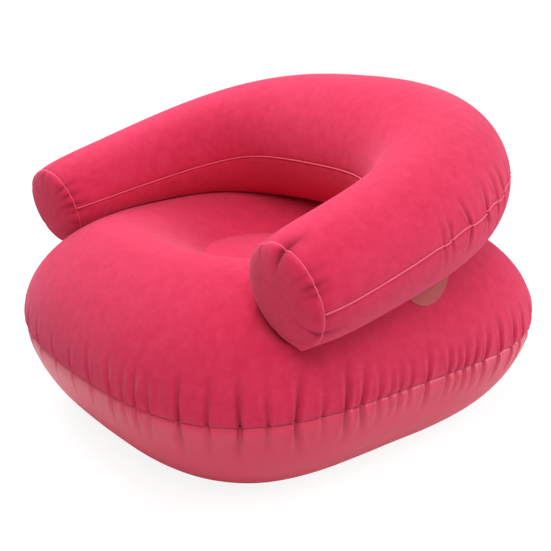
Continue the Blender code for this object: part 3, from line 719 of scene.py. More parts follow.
def make_seat_base(seat, material):
    """The smooth sheet: hollow, flat foot and wall, tucked in at the weld."""
    angles, even, total, _ = rim_columns(seat)
    tuft = seat.tuft_radius / seat.half_width
    inside = np.linspace(BASE_START_SHARE, tuft, HOLLOW_ROWS // 2)
    slope = np.linspace(tuft, FOOT_INNER_SHARE, HOLLOW_ROWS + 1)[1:]
    foot = np.linspace(FOOT_INNER_SHARE, FOOT_SHARE, FOOT_ROWS + 1)[1:]
    belly = seat.rim_height + BELLY_RISE
    end = np.arccos((1 - seat.rim_height / belly) ** (WALL_POWER / 2))
    turn = np.linspace(0, end, WALL_ROWS + 1)[1:]
    wall = FOOT_SHARE + (1 - FOOT_SHARE) * np.sin(turn) ** (2 / WALL_POWER)
    shares = np.concatenate([inside, slope, foot, wall])
    height = np.concatenate([
        BASE_TUFT_HEIGHT - BASE_TUFT_PUFF * (1 - (inside / tuft) ** 2),
        BASE_TUFT_HEIGHT * (1 - smooth((slope - tuft) / (FOOT_INNER_SHARE - tuft))),
        np.zeros_like(foot),
        belly * (1 - np.cos(turn) ** (2 / WALL_POWER)),
    ])
    tuck = seat.rim_tuck * np.clip(1 - (seat.rim_height - height) / BELLY_RISE, 0, 1) ** 2
    radius = seat_radius(angles[None], shares[:, None], seat) - tuck[:, None]
    points = ring_points(angles, radius, height[:, None])
    points, normals, away, field = creased_sheet(points, seat, seat.lower_reach, 1)
    ripple = soft_swell(even, away, total, *BASE_SWELL)
    ripple = ripple * smooth(away / BASE_SWELL_FADE) * smooth(points[..., 2] / BASE_CALM_HEIGHT)
    points = points + normals * ripple[..., None]
    points[..., 2] = np.maximum(points[..., 2], 0)
    hollow = (0, 0, BASE_TUFT_HEIGHT - BASE_TUFT_PUFF)
    top = (0, 0, seat.rim_height - MEMBRANE_DROP)
    points = flatten_at_valve(points, "seat")
    piece = closed_grid(
        "seat_base", points, hollow, top, material, "gloss", is_flipped=True, field=field
    )
    cut_pocket(piece, "seat")
    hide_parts("seat_bottom_sheet")


def make_rim_weld(seat, material):
    """The thin bead round the seat where the two sheets meet, drawn in at each crease."""
    angles, even, total, _ = rim_columns(seat)
    start = np.zeros((1, RIM_COLUMNS))
    pull = crease_field(even, start, rim_creases(seat), total, seat.crease_width, 1.0)[0]
    radius = seat_radius(angles, 1.0, seat) - seat.rim_tuck
    path = ring_points(angles, radius, seat.rim_height)
    outward = unit(np.cross(np.roll(path, -1, 0) - np.roll(path, 1, 0), (0, 0, 1.0)))
    path = path + outward * (pull * seat.crease_depth)[:, None] + outward * RIM_BEAD_SEAT
    piece = bead_along("seat_rim_bead", path, outward, RIM_BEAD_RADIUS, material, True)
    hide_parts("seat_rim_weld")


def tube_line(tube):
    """Centre line: straight arms and half a superellipse round the back; it rises to the rear."""
    runs = np.linspace(0, 1, FINE_STEPS, endpoint=False)
    y = -tube.arm_front + (BEND_START + tube.arm_front) * runs
    x = tube.arm_spread - ARM_END_INSET + ARM_END_INSET * (1 - (1 - runs) ** 2)
    turn = np.linspace(-pi / 2, pi / 2, 2 * FINE_STEPS + 1)
    power = 2 / BACK_CORNER_POWER
    bend_x = tube.arm_spread * np.sign(turn) * np.abs(np.sin(turn)) ** power
    bend_y = BEND_START + BACK_REACH * np.abs(np.cos(turn)) ** power
    x = np.concatenate([-x, bend_x, x[::-1]])
    y = np.concatenate([y, bend_y, y[::-1]])
    back = (y + tube.arm_front) / (BEND_START + BACK_REACH + tube.arm_front)
    return np.stack([x, y, tube_height(back, tube)], 1), back


def tube_length(tube):
    return float(np.sum(np.linalg.norm(np.diff(tube_line(tube)[0], axis=0), axis=1)))


def tube_sections(places, tube):
    """Centres, axes, radii, outward and upward directions and twists at places along the tube."""
    line, back = tube_line(tube)
    length = np.concatenate([[0], np.cumsum(np.linalg.norm(np.diff(line, axis=0), axis=1))])
    even = np.linspace(0, length[-1], len(length))
    line = np.stack([np.interp(even, length, line[:, i]) for i in range(3)], 1)
    back = np.interp(places, even, np.interp(even, length, back))
    tangent = unit(np.gradient(line, axis=0))

    def at(values):
        return np.stack([np.interp(places, even, column) for column in values.T], 1)

    centre, along = at(line), unit(at(tangent))
    radius = tube_radius(back, np.minimum(places, length[-1] - places), tube)
    outward = unit(np.stack([-along[:, 1], along[:, 0], 0 * back], 1))
    upward = np.cross(along, outward)
    upward *= np.sign(upward[:, 2])[:, None]
    twist = np.radians(FRONT_TWIST_DEG + (BACK_TWIST_DEG - FRONT_TWIST_DEG) * back)
    return centre, along, radius, outward, upward, twist


def pressed(points, seat):
    """Lifts what would sink into the seat, so that it lies over the seat's upper face."""
    lifted = points.copy()
    low = points[..., 2] < seat.rim_height + BELLY_RISE + seat.dome_rise
    floor = height_clear_of_seat(points[low][:, 0], points[low][:, 1], TUBE_CLEARANCE, seat)
    heights = lifted[..., 2]
    heights[low] = np.maximum(heights[low], floor)
    return lifted


def bend_creases(tube):
    """The outer weld's creases: the left bend's listed, the right's like them, then a draw."""
    rng = np.random.default_rng(CREASE_SEED + 1)
    total = tube_length(tube)
    creases = []
    for place, strength in LEFT_BEND_CREASES:
        slant, length = rng.uniform(*BEND_SLANT), rng.uniform(*BEND_LENGTH)
        creases.append((total - place, strength, slant, length))
        place = place + rng.uniform(*BEND_SHIFT)
        creases.append((place, strength * rng.uniform(*BEND_LENGTH), -slant, length))
    place = LEFT_BEND_CREASES[-1][0]
    while place < total - LEFT_BEND_CREASES[-1][0]:
        place += rng.uniform(*BACK_SPACING)
        strength, slant = rng.uniform(*BACK_STRENGTH), rng.uniform(*BEND_SLANT)
        creases.append((place, strength, slant, rng.uniform(*BACK_LENGTH)))
    return creases, total


def end_creases(side):
    """Creases across an end's ring weld: angle, strength, width factor and length."""
    rng = np.random.default_rng(CREASE_SEED + (2 if side == "left" else 3))
    table = NEAR_END_CREASES if side == "left" else FAR_END_CREASES
    return [(radians(at), strength, wide, rng.uniform(*END_LENGTH)) for at, strength, wide in table]


def ring_valleys(angles, radius, creases):
    """The creases' valleys round a ring: one row per crease."""
    rows = []
    for angle, strength, wide, _ in creases:
        away = np.abs((angles - angle + pi) % (2 * pi) - pi) * radius / (wide * END_CREASE_WIDTH)
        rows.append(strength * np.exp(-(away**CREASE_POWER)))
    return np.array(rows)


def outer_zigzag(places, creases):
    """How far the outer weld strays across, in metres: it steps at each crease."""
    stray = np.zeros_like(places)
    for i, (place, strength, _, _) in enumerate(sorted(creases)):
        away = (places - place) / ZIGZAG_WIDTH
        stray += ZIGZAG_DEPTH * strength * (-1) ** i * away * np.exp(0.5 - away**2 / 2)
    return stray


def make_tube(seat, tube, material):
    """The tube's skin: circles along its line, pressed on to the seat and creased at the welds."""
    creases, total = bend_creases(tube)
    places = np.linspace(0, total, TUBE_ROWS)
    centre, _, radius, outward, upward, twist = tube_sections(places, tube)
    weld = radians(OUTER_WELD_DEG) + twist + outer_zigzag(places, creases) / radius
    # Even angles from the outer weld round, but crowded at the two welds by a sine
    turn = np.arange(TUBE_COLUMNS) / TUBE_COLUMNS
    turn = (2 * pi * turn - WELD_CROWDING * np.sin(4 * pi * turn) / 2)[None]
    angles = weld[:, None] + turn
    around = round_about(angles, outward[:, None], upward[:, None])
    points = pressed(centre[:, None] + around * radius[:, None, None], seat)
    outer_away = np.where(turn < pi, turn, 2 * pi - turn) * radius[:, None]
    inner_away = (angles - (radians(INNER_WELD_DEG) + twist)[:, None] + pi) % (2 * pi) - pi
    over, under = (
        crease_field(places, outer_away.T, creases, OPEN_WRAP * total, BEND_CREASE_WIDTH, reach).T
        for reach in (tube.upper_reach, tube.lower_reach)
    )
    field = np.where(turn < pi, over, under)
    amount = tube.crease_depth * field
    amount -= OUTER_GROOVE_DEPTH * bell(outer_away, GROOVE_WIDTH)
    amount -= INNER_GROOVE_DEPTH * bell(inner_away * radius[:, None], GROOVE_WIDTH)
    for side, row, away in (("right", 0, places), ("left", -1, total - places)):
        marks = end_creases(side)
        for mark, valley in zip(marks, ring_valleys(angles[row], radius[0], marks)):
            fold = fading(away, END_CREASE_REACH * mark[-1])[:, None] * valley[None]
            amount -= END_CREASE_DEPTH * fold
            field = field - fold
        amount -= END_GROOVE_DEPTH * bell(away, GROOVE_WIDTH)[:, None]
    points = flatten_at_valve(points + around * amount[..., None], "backrest")
    piece = closed_grid(
        "backrest_tube", points, centre[0], centre[-1], material, "flock", field=field
    )
    cut_pocket(piece, "backrest")
    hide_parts("backrest_upper_sheet", "backrest_lower_sheet")


def make_long_welds(tube, material):
    """The beads along the tube's outer and inner welds, drawn in where the sheets are creased."""
    creases, total = bend_creases(tube)
    places = np.linspace(BEAD_SEAT, total - BEAD_SEAT, 2 * TUBE_ROWS)
    centre, _, radius, outward, upward, twist = tube_sections(places, tube)
    start = np.zeros((1, len(places)))
    pull = crease_field(places, start, creases, OPEN_WRAP * total, BEND_CREASE_WIDTH, 1.0)[0]
    outer_depth = tube.crease_depth * pull - OUTER_GROOVE_DEPTH
    for name, degrees, stray, depth in (
        ("backrest_outer_weld", OUTER_WELD_DEG, outer_zigzag(places, creases), outer_depth),
        ("backrest_inner_weld", INNER_WELD_DEG, 0 * places, -INNER_GROOVE_DEPTH),
    ):
        away = round_about(radians(degrees) + twist + stray / radius, outward, upward)
        path = centre + away * (radius + depth + BEAD_SEAT)[:, None]
        piece = bead_along(f"{name}_bead", path, away, tube.bead_radius, material, False)
        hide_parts(name)


def end_ring(side, tube, angles):
    """Centre, axis, radial directions, radius, valleys and creased radii of an arm's end ring."""
    place = np.array([0.0 if side == "right" else tube_length(tube)])
    centre, along, radius, outward, upward, _ = tube_sections(place, tube)
    axis = along[0] * (-1 if side == "right" else 1)
    valleys = ring_valleys(angles, radius[0], end_creases(side))
    edge = radius[0] - END_GROOVE_DEPTH - END_CREASE_DEPTH * valleys.sum(0)
    return centre[0], axis, round_about(angles, outward, upward), radius[0], valleys, edge


def make_arm_end(side, seat, tube, flock, weld):
    """The end cap and its weld's bead.

    The cap's profile is a flat superellipse from its tip out to a shoulder that stands a little
    wider than the weld, and then a quarter of an ellipse back in to the weld.
    """
    centre, axis, radial, radius, valleys, edge = end_ring(side, tube, turns(CAP_COLUMNS))
    ring = centre + radial * edge[:, None]
    lift = pressed(ring, seat) - ring
    turn = np.linspace(CAP_START_TURN, pi / 2, CAP_ROWS)
    tuck = np.linspace(0, pi / 2, SKIRT_ROWS + 1)[1:]
    wide = radius + CAP_SHOULDER_BULGE
    out = np.concatenate([
        wide * np.sin(turn) ** (2 / CAP_FLATNESS),
        wide - CAP_SHOULDER_BULGE * (1 - np.cos(tuck)),
    ])[:, None]
    crown = (tube.cap_bulge - CAP_SHOULDER_RISE) * np.cos(turn) ** (2 / CAP_FLATNESS)
    rise = np.concatenate([
        CAP_SHOULDER_RISE + crown,
        CAP_SHOULDER_RISE * (1 - np.sin(tuck)),
    ])[:, None]
    amount = np.zeros((len(out), CAP_COLUMNS))
    from_weld = radius - np.minimum(out, radius)
    for mark, valley in zip(end_creases(side), valleys):
        fade = fading(from_weld, CAP_CREASE_REACH * mark[-1])
        amount = amount + CAP_CREASE_DEPTH * fade * valley[None]
    tight = np.clip((out - CAP_TIGHT_SHARE * radius) / ((1 - CAP_TIGHT_SHARE) * radius), 0, 1)
    inward = (END_GROOVE_DEPTH + amount * CAP_CREASE_INWARD) * tight
    points = centre + radial[None] * (out - inward)[..., None]
    points = points + axis * (rise - amount * CAP_CREASE_BACKWARD)[..., None]
    points = points + lift[None] * (out / radius)[..., None]
    piece = closed_grid(
        f"{side}_end_cap", points, centre + axis * tube.cap_bulge, centre - axis * MEMBRANE_DROP,
        flock, "flock", is_flipped=side == "left", field=-amount / CAP_CREASE_DEPTH,
    )
    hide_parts(f"{side}_arm_cap")
    centre, _, radial, _, _, edge = end_ring(side, tube, turns(RING_STEPS))
    path = pressed(centre + radial * (edge + END_BEAD_SEAT)[:, None], seat)
    bead = bead_along(f"{side}_end_bead", path, radial, END_BEAD_RADIUS, weld, True)
    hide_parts(f"{side}_cap_weld")


def valve_frame(prefix):
    """A valve's origin and its side, upright and outward axes, from its joints."""
    joints = {joint["name"]: joint for joint in frame["joints"]}
    axis = Vector(joints[f"{prefix}_plug_pull"]["axis"]).normalized()
    hinge = joints[f"{prefix}_flap_hinge"]
    upright = Vector(hinge["axis"]).normalized()
    side = upright.cross(axis).normalized()
    origin = Vector(hinge["pos_m"]) + side * NECK_RADIUS
    origin += axis * (PLUG_DEPTH + FIT_GAP + FLAP_THICKNESS / 2)
    return origin, side, upright, axis


def valve_arrays(prefix):
    return [np.array(vector) for vector in valve_frame(prefix)]


def flatten_at_valve(points, prefix):
    """Brings the sheet to the valve's plane near it, and blends back to its own shape outside."""
    origin, _, _, axis = valve_arrays(prefix)
    offset = points - origin
    height = offset @ axis
    away = np.linalg.norm(offset - height[..., None] * axis, axis=-1)
    share = 1 - smooth((away - VALVE_FLAT_RADIUS) / VALVE_FLAT_REACH)
    share = np.where(np.abs(height) < 2 * VALVE_FLAT_RADIUS, share, 0)
    return points - (height * share)[..., None] * axis


def cut_pocket(piece, prefix):
    """Cuts the round hole that the valve's sleeve stands in."""
    origin, *axes = valve_frame(prefix)
    bpy.ops.mesh.primitive_cylinder_add(
        vertices=TURNED_STEPS, radius=VALVE_BORE_RADIUS + VALVE_WALL / 2, depth=2 * POCKET_DEPTH
    )
    cutter = bpy.context.object
    cutter.data.transform(Matrix.Translation(origin) @ Matrix(axes).transposed().to_4x4())
    cut = piece.modifiers.new("valve hole", "BOOLEAN")
    cut.operation = "DIFFERENCE"
    cut.object = cutter
    depsgraph = bpy.context.evaluated_depsgraph_get()
    mesh = bpy.data.meshes.new_from_object(piece.evaluated_get(depsgraph))
    piece.modifiers.clear()
    piece.data = mesh
    bpy.data.objects.remove(cutter, do_unlink=True)


def turned_piece(name, prefix, profile, material, body, node, is_loop):
    """A profile of (radius, height) points carried round the valve's axis."""
    origin, side, upright, axis = valve_arrays(prefix)
    radial = round_about(turns(TURNED_STEPS), side, upright)
    profile = np.array(profile)
    points = origin + profile[:, 0, None, None] * radial[None] + profile[:, 1, None, None] * axis
    if is_loop:
        piece = closed_loop(name, points, material, body)
    else:
        start, end = (origin + axis * profile[i, 1] for i in (0, -1))
        piece = closed_grid(name, points, start, end, material, "valve", body)
    piece.data.set_sharp_from_angle(angle=radians(SHARP_DEG))
    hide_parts(node)


def make_valve(prefix, material):
    """The base, plug, flap, stopper and strap, turned or swept about the valve's axis."""
    head = VALVE_LIP_RISE + FIT_GAP
    top = head + PLUG_HEAD_THICKNESS
    neck_top = top + NECK_RISE
    base = [
        (SLEEVE_RADIUS, VALVE_LIP_RISE), (SLEEVE_RADIUS, VALVE_WELD_RISE),
        (VALVE_WELD_RADIUS, VALVE_WELD_EDGE), (VALVE_WELD_RADIUS + VALVE_WELD_EDGE, 0),
        (VALVE_WELD_RADIUS, -VALVE_WELD_DROP), (SLEEVE_RADIUS, -VALVE_WELD_DROP),
        (SLEEVE_RADIUS, -VALVE_SLEEVE_DEPTH), (VALVE_BORE_RADIUS, -VALVE_SLEEVE_DEPTH),
        (VALVE_BORE_RADIUS, VALVE_LIP_RISE - CHAMFER),
        (VALVE_BORE_RADIUS + CHAMFER, VALVE_LIP_RISE),
    ]
    outer = VALVE_BORE_RADIUS - FIT_GAP
    plug = [
        (NECK_RADIUS, neck_top), (NECK_RADIUS, top), (PLUG_HEAD_RADIUS - CHAMFER, top),
        (PLUG_HEAD_RADIUS, top - CHAMFER), (PLUG_HEAD_RADIUS, head), (outer, head),
        (outer, -PLUG_DEPTH), (outer - VALVE_WALL, -PLUG_DEPTH), (outer - VALVE_WALL, head),
        (NECK_RADIUS, head), (NECK_RADIUS, -PLUG_DEPTH), (NECK_BORE_RADIUS, -PLUG_DEPTH),
        (NECK_BORE_RADIUS, neck_top),
    ]
    drop = -PLUG_DEPTH - FIT_GAP
    bottom = drop - FLAP_THICKNESS
    reach = NECK_RADIUS + FLAP_OVERLAP
    flap = [(TURNED_START, drop), (reach, drop), (reach, bottom), (TURNED_START, bottom)]
    under = neck_top + FIT_GAP
    over = under + STOPPER_HEAD_THICKNESS
    stem = NECK_BORE_RADIUS - FIT_GAP
    stopper = [
        (TURNED_START, over), (STOPPER_HEAD_RADIUS - CHAMFER, over),
        (STOPPER_HEAD_RADIUS, over - CHAMFER), (STOPPER_HEAD_RADIUS, under), (stem, under),
        (stem, under - STOPPER_DEPTH), (stem - STOPPER_WALL, under - STOPPER_DEPTH),
        (stem - STOPPER_WALL, under), (TURNED_START, under),
    ]
    for name, profile, body, node, is_loop in (
        ("seat", base, CHAIR, "base", True),
        ("cap", plug, f"{prefix}_plug", "plug", True),
        ("disc", flap, f"{prefix}_flap", "flap", False),
        ("button", stopper, f"{prefix}_stopper", "stopper", False),
    ):
        name, node = f"{prefix}_valve_{name}", f"{prefix}_valve_{node}"
        turned_piece(name, prefix, profile, material, body, node, is_loop)
    make_tab(prefix, (under + over) / 2, material, f"{prefix}_stopper")
    make_strap(prefix, top, (under + over) / 2, material, f"{prefix}_stopper")


def make_tab(prefix, height, material, body):
    """The finger tab: a tongue whose outline is |x|^4 + |y|^4 = 1, with a rounded edge."""
    origin, side, upright, axis = valve_arrays(prefix)
    angles = turns(TURNED_STEPS)
    square = squircle(angles)
    start, end = STOPPER_HEAD_RADIUS - TAB_LENGTH / 2, STOPPER_HEAD_RADIUS + TAB_LENGTH
    rise = STOPPER_HEAD_THICKNESS * TAB_THICKNESS_SHARE
    rows = []
    for share, level in TAB_ROWS:
        along = (start + end) / 2 + (end - start) / 2 * square * np.cos(angles) * share
        across = TAB_WIDTH / 2 * square * np.sin(angles) * share
        row = origin + side * along[:, None] + upright * across[:, None]
        rows.append(row + axis * (height + rise * level))
    middle = origin + side * (start + end) / 2
    poles = [middle + axis * (height + rise * level) for level in (1, -1)]
    closed_grid(f"{prefix}_valve_tab", np.array(rows), *poles, material, "valve", body)


def make_strap(prefix, low, high, material, body):
    """A flat ribbon that arches from the stopper's edge down to the plug's head."""
    origin, side, upright, axis = valve_arrays(prefix)
    near, far = STOPPER_HEAD_RADIUS + FIT_GAP, PLUG_HEAD_RADIUS - STRAP_THICKNESS
    turn = np.linspace(0, pi / 2, STRAP_STEPS)
    out = near + (far - near) * np.sin(turn)
    rise = low + FIT_GAP + STRAP_THICKNESS / 2 + (high - low - FIT_GAP) * np.cos(turn)
    rise = rise + STRAP_RISE * np.sin(2 * turn)
    path = origin - side * out[:, None] + axis * rise[:, None]
    angles = turns(STRAP_SIDES)
    square = squircle(angles)
    up = np.cross(unit(np.gradient(path, axis=0)), upright)
    across = upright * (STRAP_WIDTH / 2 * square * np.cos(angles))[:, None]
    thick = STRAP_THICKNESS / 2 * square * np.sin(angles)
    points = path[:, None] + across[None] + up[:, None] * thick[None, :, None]
    name = f"{prefix}_valve_tie"
    piece = closed_grid(name, points, path[0], path[-1], material, "valve", body)
    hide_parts(f"{prefix}_valve_strap")


def fill_inputs(tree, node, values):
    """Gives inputs, by name or number, their values, or links to them from a socket."""
    for key, value in values.items():
        if isinstance(value, bpy.types.NodeSocket):
            tree.links.new(value, node.inputs[key])
        else:
            node.inputs[key].default_value = value


def add_node(tree, kind, values=None, **settings):
    """A shader node with its settings and its inputs' values."""
    node = tree.nodes.new(f"ShaderNode{kind}")
    for key, value in settings.items():
        setattr(node, key, value)
    fill_inputs(tree, node, values or {})
    return node


def new_group(name, scales, outputs):
    """A node group that takes coordinates and scales and gives values."""
    tree = bpy.data.node_groups.new(name, "ShaderNodeTree")
    tree.interface.new_socket("Vector", in_out="INPUT", socket_type="NodeSocketVector")
    for label, default in scales.items():
        socket = tree.interface.new_socket(label, in_out="INPUT", socket_type="NodeSocketFloat")
        socket.default_value = default
    for label in outputs:
        tree.interface.new_socket(label, in_out="OUTPUT", socket_type="NodeSocketFloat")
    return tree, tree.nodes.new("NodeGroupInput").outputs, tree.nodes.new("NodeGroupOutput")


def nap_group():
    """Brushed patches, a fine grain and specks of lint, from the object's own coordinates."""
    tree, start, end = new_group("nap", NAP_SCALES, ("Patches", "Grain", "Specks"))
    patch = add_node(tree, "TexNoise", {
        "Vector": start["Vector"], "Scale": start["Patch Scale"], **PATCH_NOISE,
    })
    grain = add_node(tree, "TexNoise", {
        "Vector": start["Vector"], "Scale": start["Grain Scale"], "Detail": GRAIN_DETAIL,
    })
    speck = add_node(tree, "TexVoronoi", {
        "Vector": start["Vector"], "Scale": start["Speck Scale"],
    })
    spread = add_node(tree, "MapRange", {"Value": patch.outputs["Fac"], **PATCH_SPREAD})
    near = add_node(tree, "MapRange", {"Value": speck.outputs["Distance"], **SPECK_EDGE})
    fill_inputs(tree, end, {
        "Patches": spread.outputs["Result"], "Grain": grain.outputs["Fac"],
        "Specks": near.outputs["Result"],
    })


def sheet_group():
    """The slight unevenness of smooth sheet: broad ripples and a faint cloudiness."""
    tree, start, end = new_group("smooth sheet", SHEET_SCALES, SHEET_DETAILS)
    for label, detail in SHEET_DETAILS.items():
        noise = add_node(tree, "TexNoise", {
            "Vector": start["Vector"], "Scale": start[f"{label} Scale"], "Detail": detail,
        })
        fill_inputs(tree, end, {label: noise.outputs["Fac"]})


def new_material(name, group, values):
    """A material, its tree, its Principled shader and a group's outputs on the object's place."""
    material = bpy.data.materials.new(name)
    material.use_nodes = True
    tree = material.node_tree
    place = add_node(tree, "TexCoord").outputs["Object"]
    pattern = add_node(
        tree, "Group", {"Vector": place, **values}, node_tree=bpy.data.node_groups[group]
    )
    return material, tree, tree.nodes["Principled BSDF"], pattern.outputs


def colour_mix(tree, factor, first, second):
    """Mixes two colours, each a tuple or a socket, by a socket."""
    mix = add_node(tree, "Mix", {"Factor": factor}, data_type="RGBA")
    for label, value in (("A", first), ("B", second)):
        socket = [one for one in mix.inputs if one.name == label and one.type == "RGBA"][0]
        if isinstance(value, bpy.types.NodeSocket):
            tree.links.new(value, socket)
        else:
            socket.default_value = (*value, 1)
    return [one for one in mix.outputs if one.type == "RGBA"][0]


def scaled(tree, socket, low, high):
    """Maps a value from 0 to 1 on to a range."""
    return add_node(tree, "MapRange", {"Value": socket, "To Min": low, "To Max": high}).outputs[0]


def creased(tree, tone, share, dark):
    """A tone with painted shade, darker where the piece's own creases are deeper."""
    crease = add_node(tree, "Attribute", attribute_name="crease")
    return colour_mix(tree, scaled(tree, crease.outputs["Fac"], 0, share), tone, dark)


def bumped(tree, height, strength, distance):
    """A normal that follows the heights of a pattern."""
    values = {"Height": height, "Strength": strength, "Distance": distance}
    return add_node(tree, "Bump", values).outputs["Normal"]


def shade(colour, factor):
    return tuple(factor * value for value in colour)


def flock_material(name, finish):
    """Velvety nap: two tones in brushed patches, a fine grain, specks of lint and a soft sheen."""
    scales = {"Patch Scale": 1 / finish.mottle_size, "Grain Scale": 1 / finish.nap_size}
    material, tree, shader, nap = new_material(name, "nap", scales)
    dark = shade(finish.flock_shade, GRAIN_SHADE)
    lint = tuple(min(1, value + LINT_LIGHTENING) for value in finish.flock)
    tone = colour_mix(tree, nap["Patches"], tuple(finish.flock_shade), tuple(finish.flock))
    tone = colour_mix(tree, scaled(tree, nap["Grain"], *GRAIN_SHARES), tone, dark)
    tone = colour_mix(tree, scaled(tree, nap["Specks"], 0, LINT_SHARE), tone, lint)
    fill_inputs(tree, shader, {
        # Shade painted into the creases, darker where they are deeper
        "Base Color": creased(tree, tone, NAP_PAINTED_SHADE_SHARE, shade(dark, NAP_PAINTED_SHADE_FACTOR)),
        "Roughness": NAP_ROUGHNESS,
        "Specular IOR Level": 0.0,
        "Normal": bumped(tree, nap["Grain"], *NAP_BUMP),
        **NAP_SHEEN,
    })
    return material


def smooth_material(name, base, roughness, coat, ripple, distance):
    """Smooth PVC: one colour with a faint cloudiness, an uneven gloss and slight ripples."""
    material, tree, shader, sheet = new_material(name, "smooth sheet", {})
    pale = tuple(min(1, CLOUD_FACTOR * value + CLOUD_LIGHTENING) for value in base)
    tone = colour_mix(tree, sheet["Cloud"], tuple(base), pale)
    rough = (roughness + change for change in CLOUD_ROUGHNESS)
    fill_inputs(tree, shader, {
        # Shade painted into the creases, darker where they are deeper
        "Base Color": creased(tree, tone, SHEET_PAINTED_SHADE_SHARE, shade(base, SHEET_PAINTED_SHADE_FACTOR)),
        "Roughness": scaled(tree, sheet["Cloud"], *rough),
        "Coat Weight": coat,
        "Coat Roughness": COAT_ROUGHNESS,
        "Normal": bumped(tree, sheet["Ripple"], ripple, distance),
    })
    return material


def get_material(name):
    """A finish of this chair, made when it is first asked for."""
    if name in bpy.data.materials:
        return bpy.data.materials[name]
    if "nap" not in bpy.data.node_groups:
        nap_group()
        sheet_group()
    finish = bpy.context.scene.armchair_finishes
    if name == "flocked sheet":
        return flock_material(name, finish)
    base, *surface = SMOOTH_FINISHES[name]
    return smooth_material(name, getattr(finish, base), *surface)


def make_camera(stage):
    """The camera at its azimuth and elevation, aimed over the middle of the chair."""
    level = cos(stage.elevation)
    back = (sin(stage.azimuth) * level, -cos(stage.azimuth) * level, sin(stage.elevation))
    back = Vector(back)
    right = Vector((cos(stage.azimuth), sin(stage.azimuth), 0))
    up = back.cross(right)
    aim = Vector((0, 0, stage.aim_height)) + right * stage.aim_right + up * stage.aim_up
    data = bpy.data.cameras.new("camera")
    data.lens = stage.focal_length
    data.sensor_width = SENSOR_WIDTH
    camera = bpy.data.objects.new("camera", data)
    turn = Matrix((right, up, back)).transposed().to_4x4()
    camera.matrix_world = Matrix.Translation(aim + back * stage.distance) @ turn
    bpy.context.scene.collection.objects.link(camera)
    bpy.context.scene.camera = camera


def make_lamp(name, place, power, colour):
    """A round area lamp aimed at the middle of the chair."""
    data = bpy.data.lights.new(name, "AREA")
    data.shape = "DISK"
    data.size = LAMP_SIZE
    data.energy = power
    data.color = colour
    lamp = bpy.data.objects.new(name, data)
    turn = (Vector((0, 0, LAMP_AIM_HEIGHT)) - Vector(place)).to_track_quat("-Z", "Y")
    lamp.matrix_world = Matrix.Translation(place) @ turn.to_matrix().to_4x4()
    bpy.context.scene.collection.objects.link(lamp)


def make_world(stage):
    """White to the camera and in reflections, and a plain soft light for the rest."""
    world = bpy.data.worlds.new("white room")
    world.use_nodes = True
    bpy.context.scene.world = world
    tree = world.node_tree
    light = tree.nodes["Background"]
    fill_inputs(tree, light, {"Color": WHITE, "Strength": stage.ambient})
    white = add_node(tree, "Background", {"Color": WHITE, "Strength": 1.0})
    rays = add_node(tree, "LightPath").outputs
    is_white = rays["Is Camera Ray"]
    for ray in ("Is Transmission Ray", "Is Glossy Ray"):
        either = {0: is_white, 1: rays[ray]}
        is_white = add_node(tree, "Math", either, operation="MAXIMUM").outputs[0]
    mix = add_node(tree, "MixShader", {0: is_white, 1: light.outputs[0], 2: white.outputs[0]})
    tree.links.new(mix.outputs[0], tree.nodes["World Output"].inputs["Surface"])


def make_floor():
    """A white floor that keeps a faint shadow and glows a little, more so away from the chair."""
    bpy.ops.mesh.primitive_circle_add(
        vertices=FLOOR_SIDES, radius=FLOOR_RADIUS, fill_type="NGON"
    )
    floor = bpy.context.object
    floor.name = "floor"
    floor.data.transform(Matrix.Translation((0, 0, -FLOOR_DROP)))
    material = bpy.data.materials.new("white floor")
    material.use_nodes = True
    tree = material.node_tree
    shader = tree.nodes["Principled BSDF"]
    fill_inputs(tree, shader, {"Base Color": FLOOR_GREY, "Roughness": FLOOR_ROUGHNESS})
    glow = add_node(tree, "Emission", {"Strength": FLOOR_GLOW})
    place = add_node(tree, "TexCoord").outputs["Object"]
    away = add_node(tree, "VectorMath", {0: place}, operation="LENGTH").outputs["Value"]
    fade = add_node(tree, "MapRange", {
        "Value": away, "From Min": FLOOR_GLOW_START, "From Max": FLOOR_GLOW_END,
        "To Min": FLOOR_GLOW_SHARE,
    })
    seen = add_node(tree, "LightPath").outputs["Is Camera Ray"]
    share = add_node(tree, "Math", {0: seen, 1: fade.outputs[0]}, operation="MULTIPLY")
    values = {0: share.outputs[0], 1: shader.outputs[0], 2: glow.outputs[0]}
    mix = add_node(tree, "MixShader", values)
    tree.links.new(mix.outputs[0], tree.nodes["Material Output"].inputs["Surface"])
    floor.data.materials.append(material)


class ARMCHAIR_OT_stage(bpy.types.Operator):
    """Adds the camera, the lamps, the white surroundings and the floor"""

    bl_idname = "armchair.stage"
    bl_label = "Stage"

    def execute(self, context):
        stage = context.scene.armchair_stage
        context.scene.view_settings.view_transform = "Standard"
        make_camera(stage)
        make_world(stage)
        for name, (place, tint) in LAMPS.items():
            make_lamp(f"{name} lamp", place, getattr(stage, f"{name}_power"), tint)
        make_floor()
        return {"FINISHED"}


class ARMCHAIR_OT_seat(bpy.types.Operator):
    """Adds the seat cushion: the flocked dome, the smooth base and the weld between them"""

    bl_idname = "armchair.seat"
    bl_label = "Seat"

    def execute(self, context):
        seat = context.scene.armchair_seat
        make_seat_top(seat, get_material("flocked sheet"))
        make_seat_base(seat, get_material("base sheet"))
        make_rim_weld(seat, get_material("rim bead"))
        return {"FINISHED"}


class ARMCHAIR_OT_backrest(bpy.types.Operator):
    """Adds the tube that forms the backrest and the arms, with its two long welds"""

    bl_idname = "armchair.backrest"
    bl_label = "Backrest and arms"

    def execute(self, context):
        tube = context.scene.armchair_tube
        make_tube(context.scene.armchair_seat, tube, get_material("flocked sheet"))
        make_long_welds(tube, get_material("weld bead"))
        return {"FINISHED"}


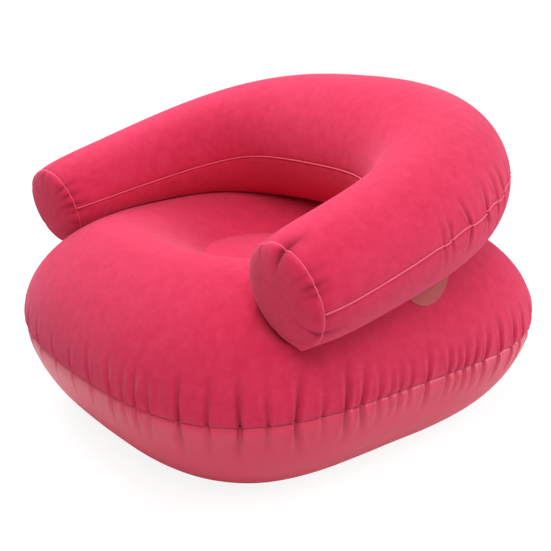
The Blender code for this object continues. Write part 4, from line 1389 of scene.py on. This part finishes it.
class ARMCHAIR_OT_arm_ends(bpy.types.Operator):
    """Adds the round caps of the arms and the ring welds that hold them"""

    bl_idname = "armchair.arm_ends"
    bl_label = "Arm ends"

    def execute(self, context):
        seat, tube = context.scene.armchair_seat, context.scene.armchair_tube
        for side in ("left", "right"):
            make_arm_end(side, seat, tube, get_material("flocked sheet"), get_material("weld bead"))
        return {"FINISHED"}


class ARMCHAIR_OT_joints(bpy.types.Operator):
    """Finishes the clear patches under the tube and the column inside the seat"""

    bl_idname = "armchair.joints"
    bl_label = "Patches and column"

    def execute(self, context):
        for node, finish in (
            ("left_joint_patch", "clear patch"), ("right_joint_patch", "clear patch"),
            ("rear_joint_patch", "clear patch"), ("tether_column", "base sheet"),
        ):
            for slot in frame["nodes"][node].material_slots:
                slot.material = get_material(finish)
        return {"FINISHED"}


class ARMCHAIR_OT_valves(bpy.types.Operator):
    """Adds the two-in-one valves at the rear of the seat and of the backrest"""

    bl_idname = "armchair.valves"
    bl_label = "Valves"

    def execute(self, context):
        for prefix in ("seat", "backrest"):
            make_valve(prefix, get_material("moulded valve"))
        return {"FINISHED"}


class ARMCHAIR_PT_panel(bpy.types.Panel):
    """Lists the chair's steps and its main sizes"""

    bl_idname = "ARMCHAIR_PT_panel"
    bl_label = "Inflatable Armchair"
    bl_space_type = "VIEW_3D"
    bl_region_type = "UI"
    bl_category = "Armchair"

    def draw(self, context):
        for operator in OPERATORS:
            self.layout.operator(operator.bl_idname)
        for group in GROUPS:
            settings = getattr(context.scene, group)
            box = self.layout.box()
            for name in settings.__annotations__:
                box.prop(settings, name)


GROUPS = {
    "armchair_seat": SeatSizes,
    "armchair_tube": TubeSizes,
    "armchair_finishes": Finishes,
    "armchair_stage": StageSizes,
}
OPERATORS = (
    ARMCHAIR_OT_stage,
    ARMCHAIR_OT_seat,
    ARMCHAIR_OT_backrest,
    ARMCHAIR_OT_arm_ends,
    ARMCHAIR_OT_joints,
    ARMCHAIR_OT_valves,
)


def register():
    for kind in (*GROUPS.values(), *OPERATORS, ARMCHAIR_PT_panel):
        bpy.utils.register_class(kind)
    for name, kind in GROUPS.items():
        setattr(bpy.types.Scene, name, PointerProperty(type=kind))


def unregister():
    for name in GROUPS:
        delattr(bpy.types.Scene, name)
    for kind in reversed((*GROUPS.values(), *OPERATORS, ARMCHAIR_PT_panel)):
        bpy.utils.unregister_class(kind)


def main():
    """Builds the chair step by step."""
    register()
    for operator in OPERATORS:
        step = operator.bl_idname.split(".")[1]
        getattr(bpy.ops.armchair, step)()


if __name__ == "__main__":
    main()
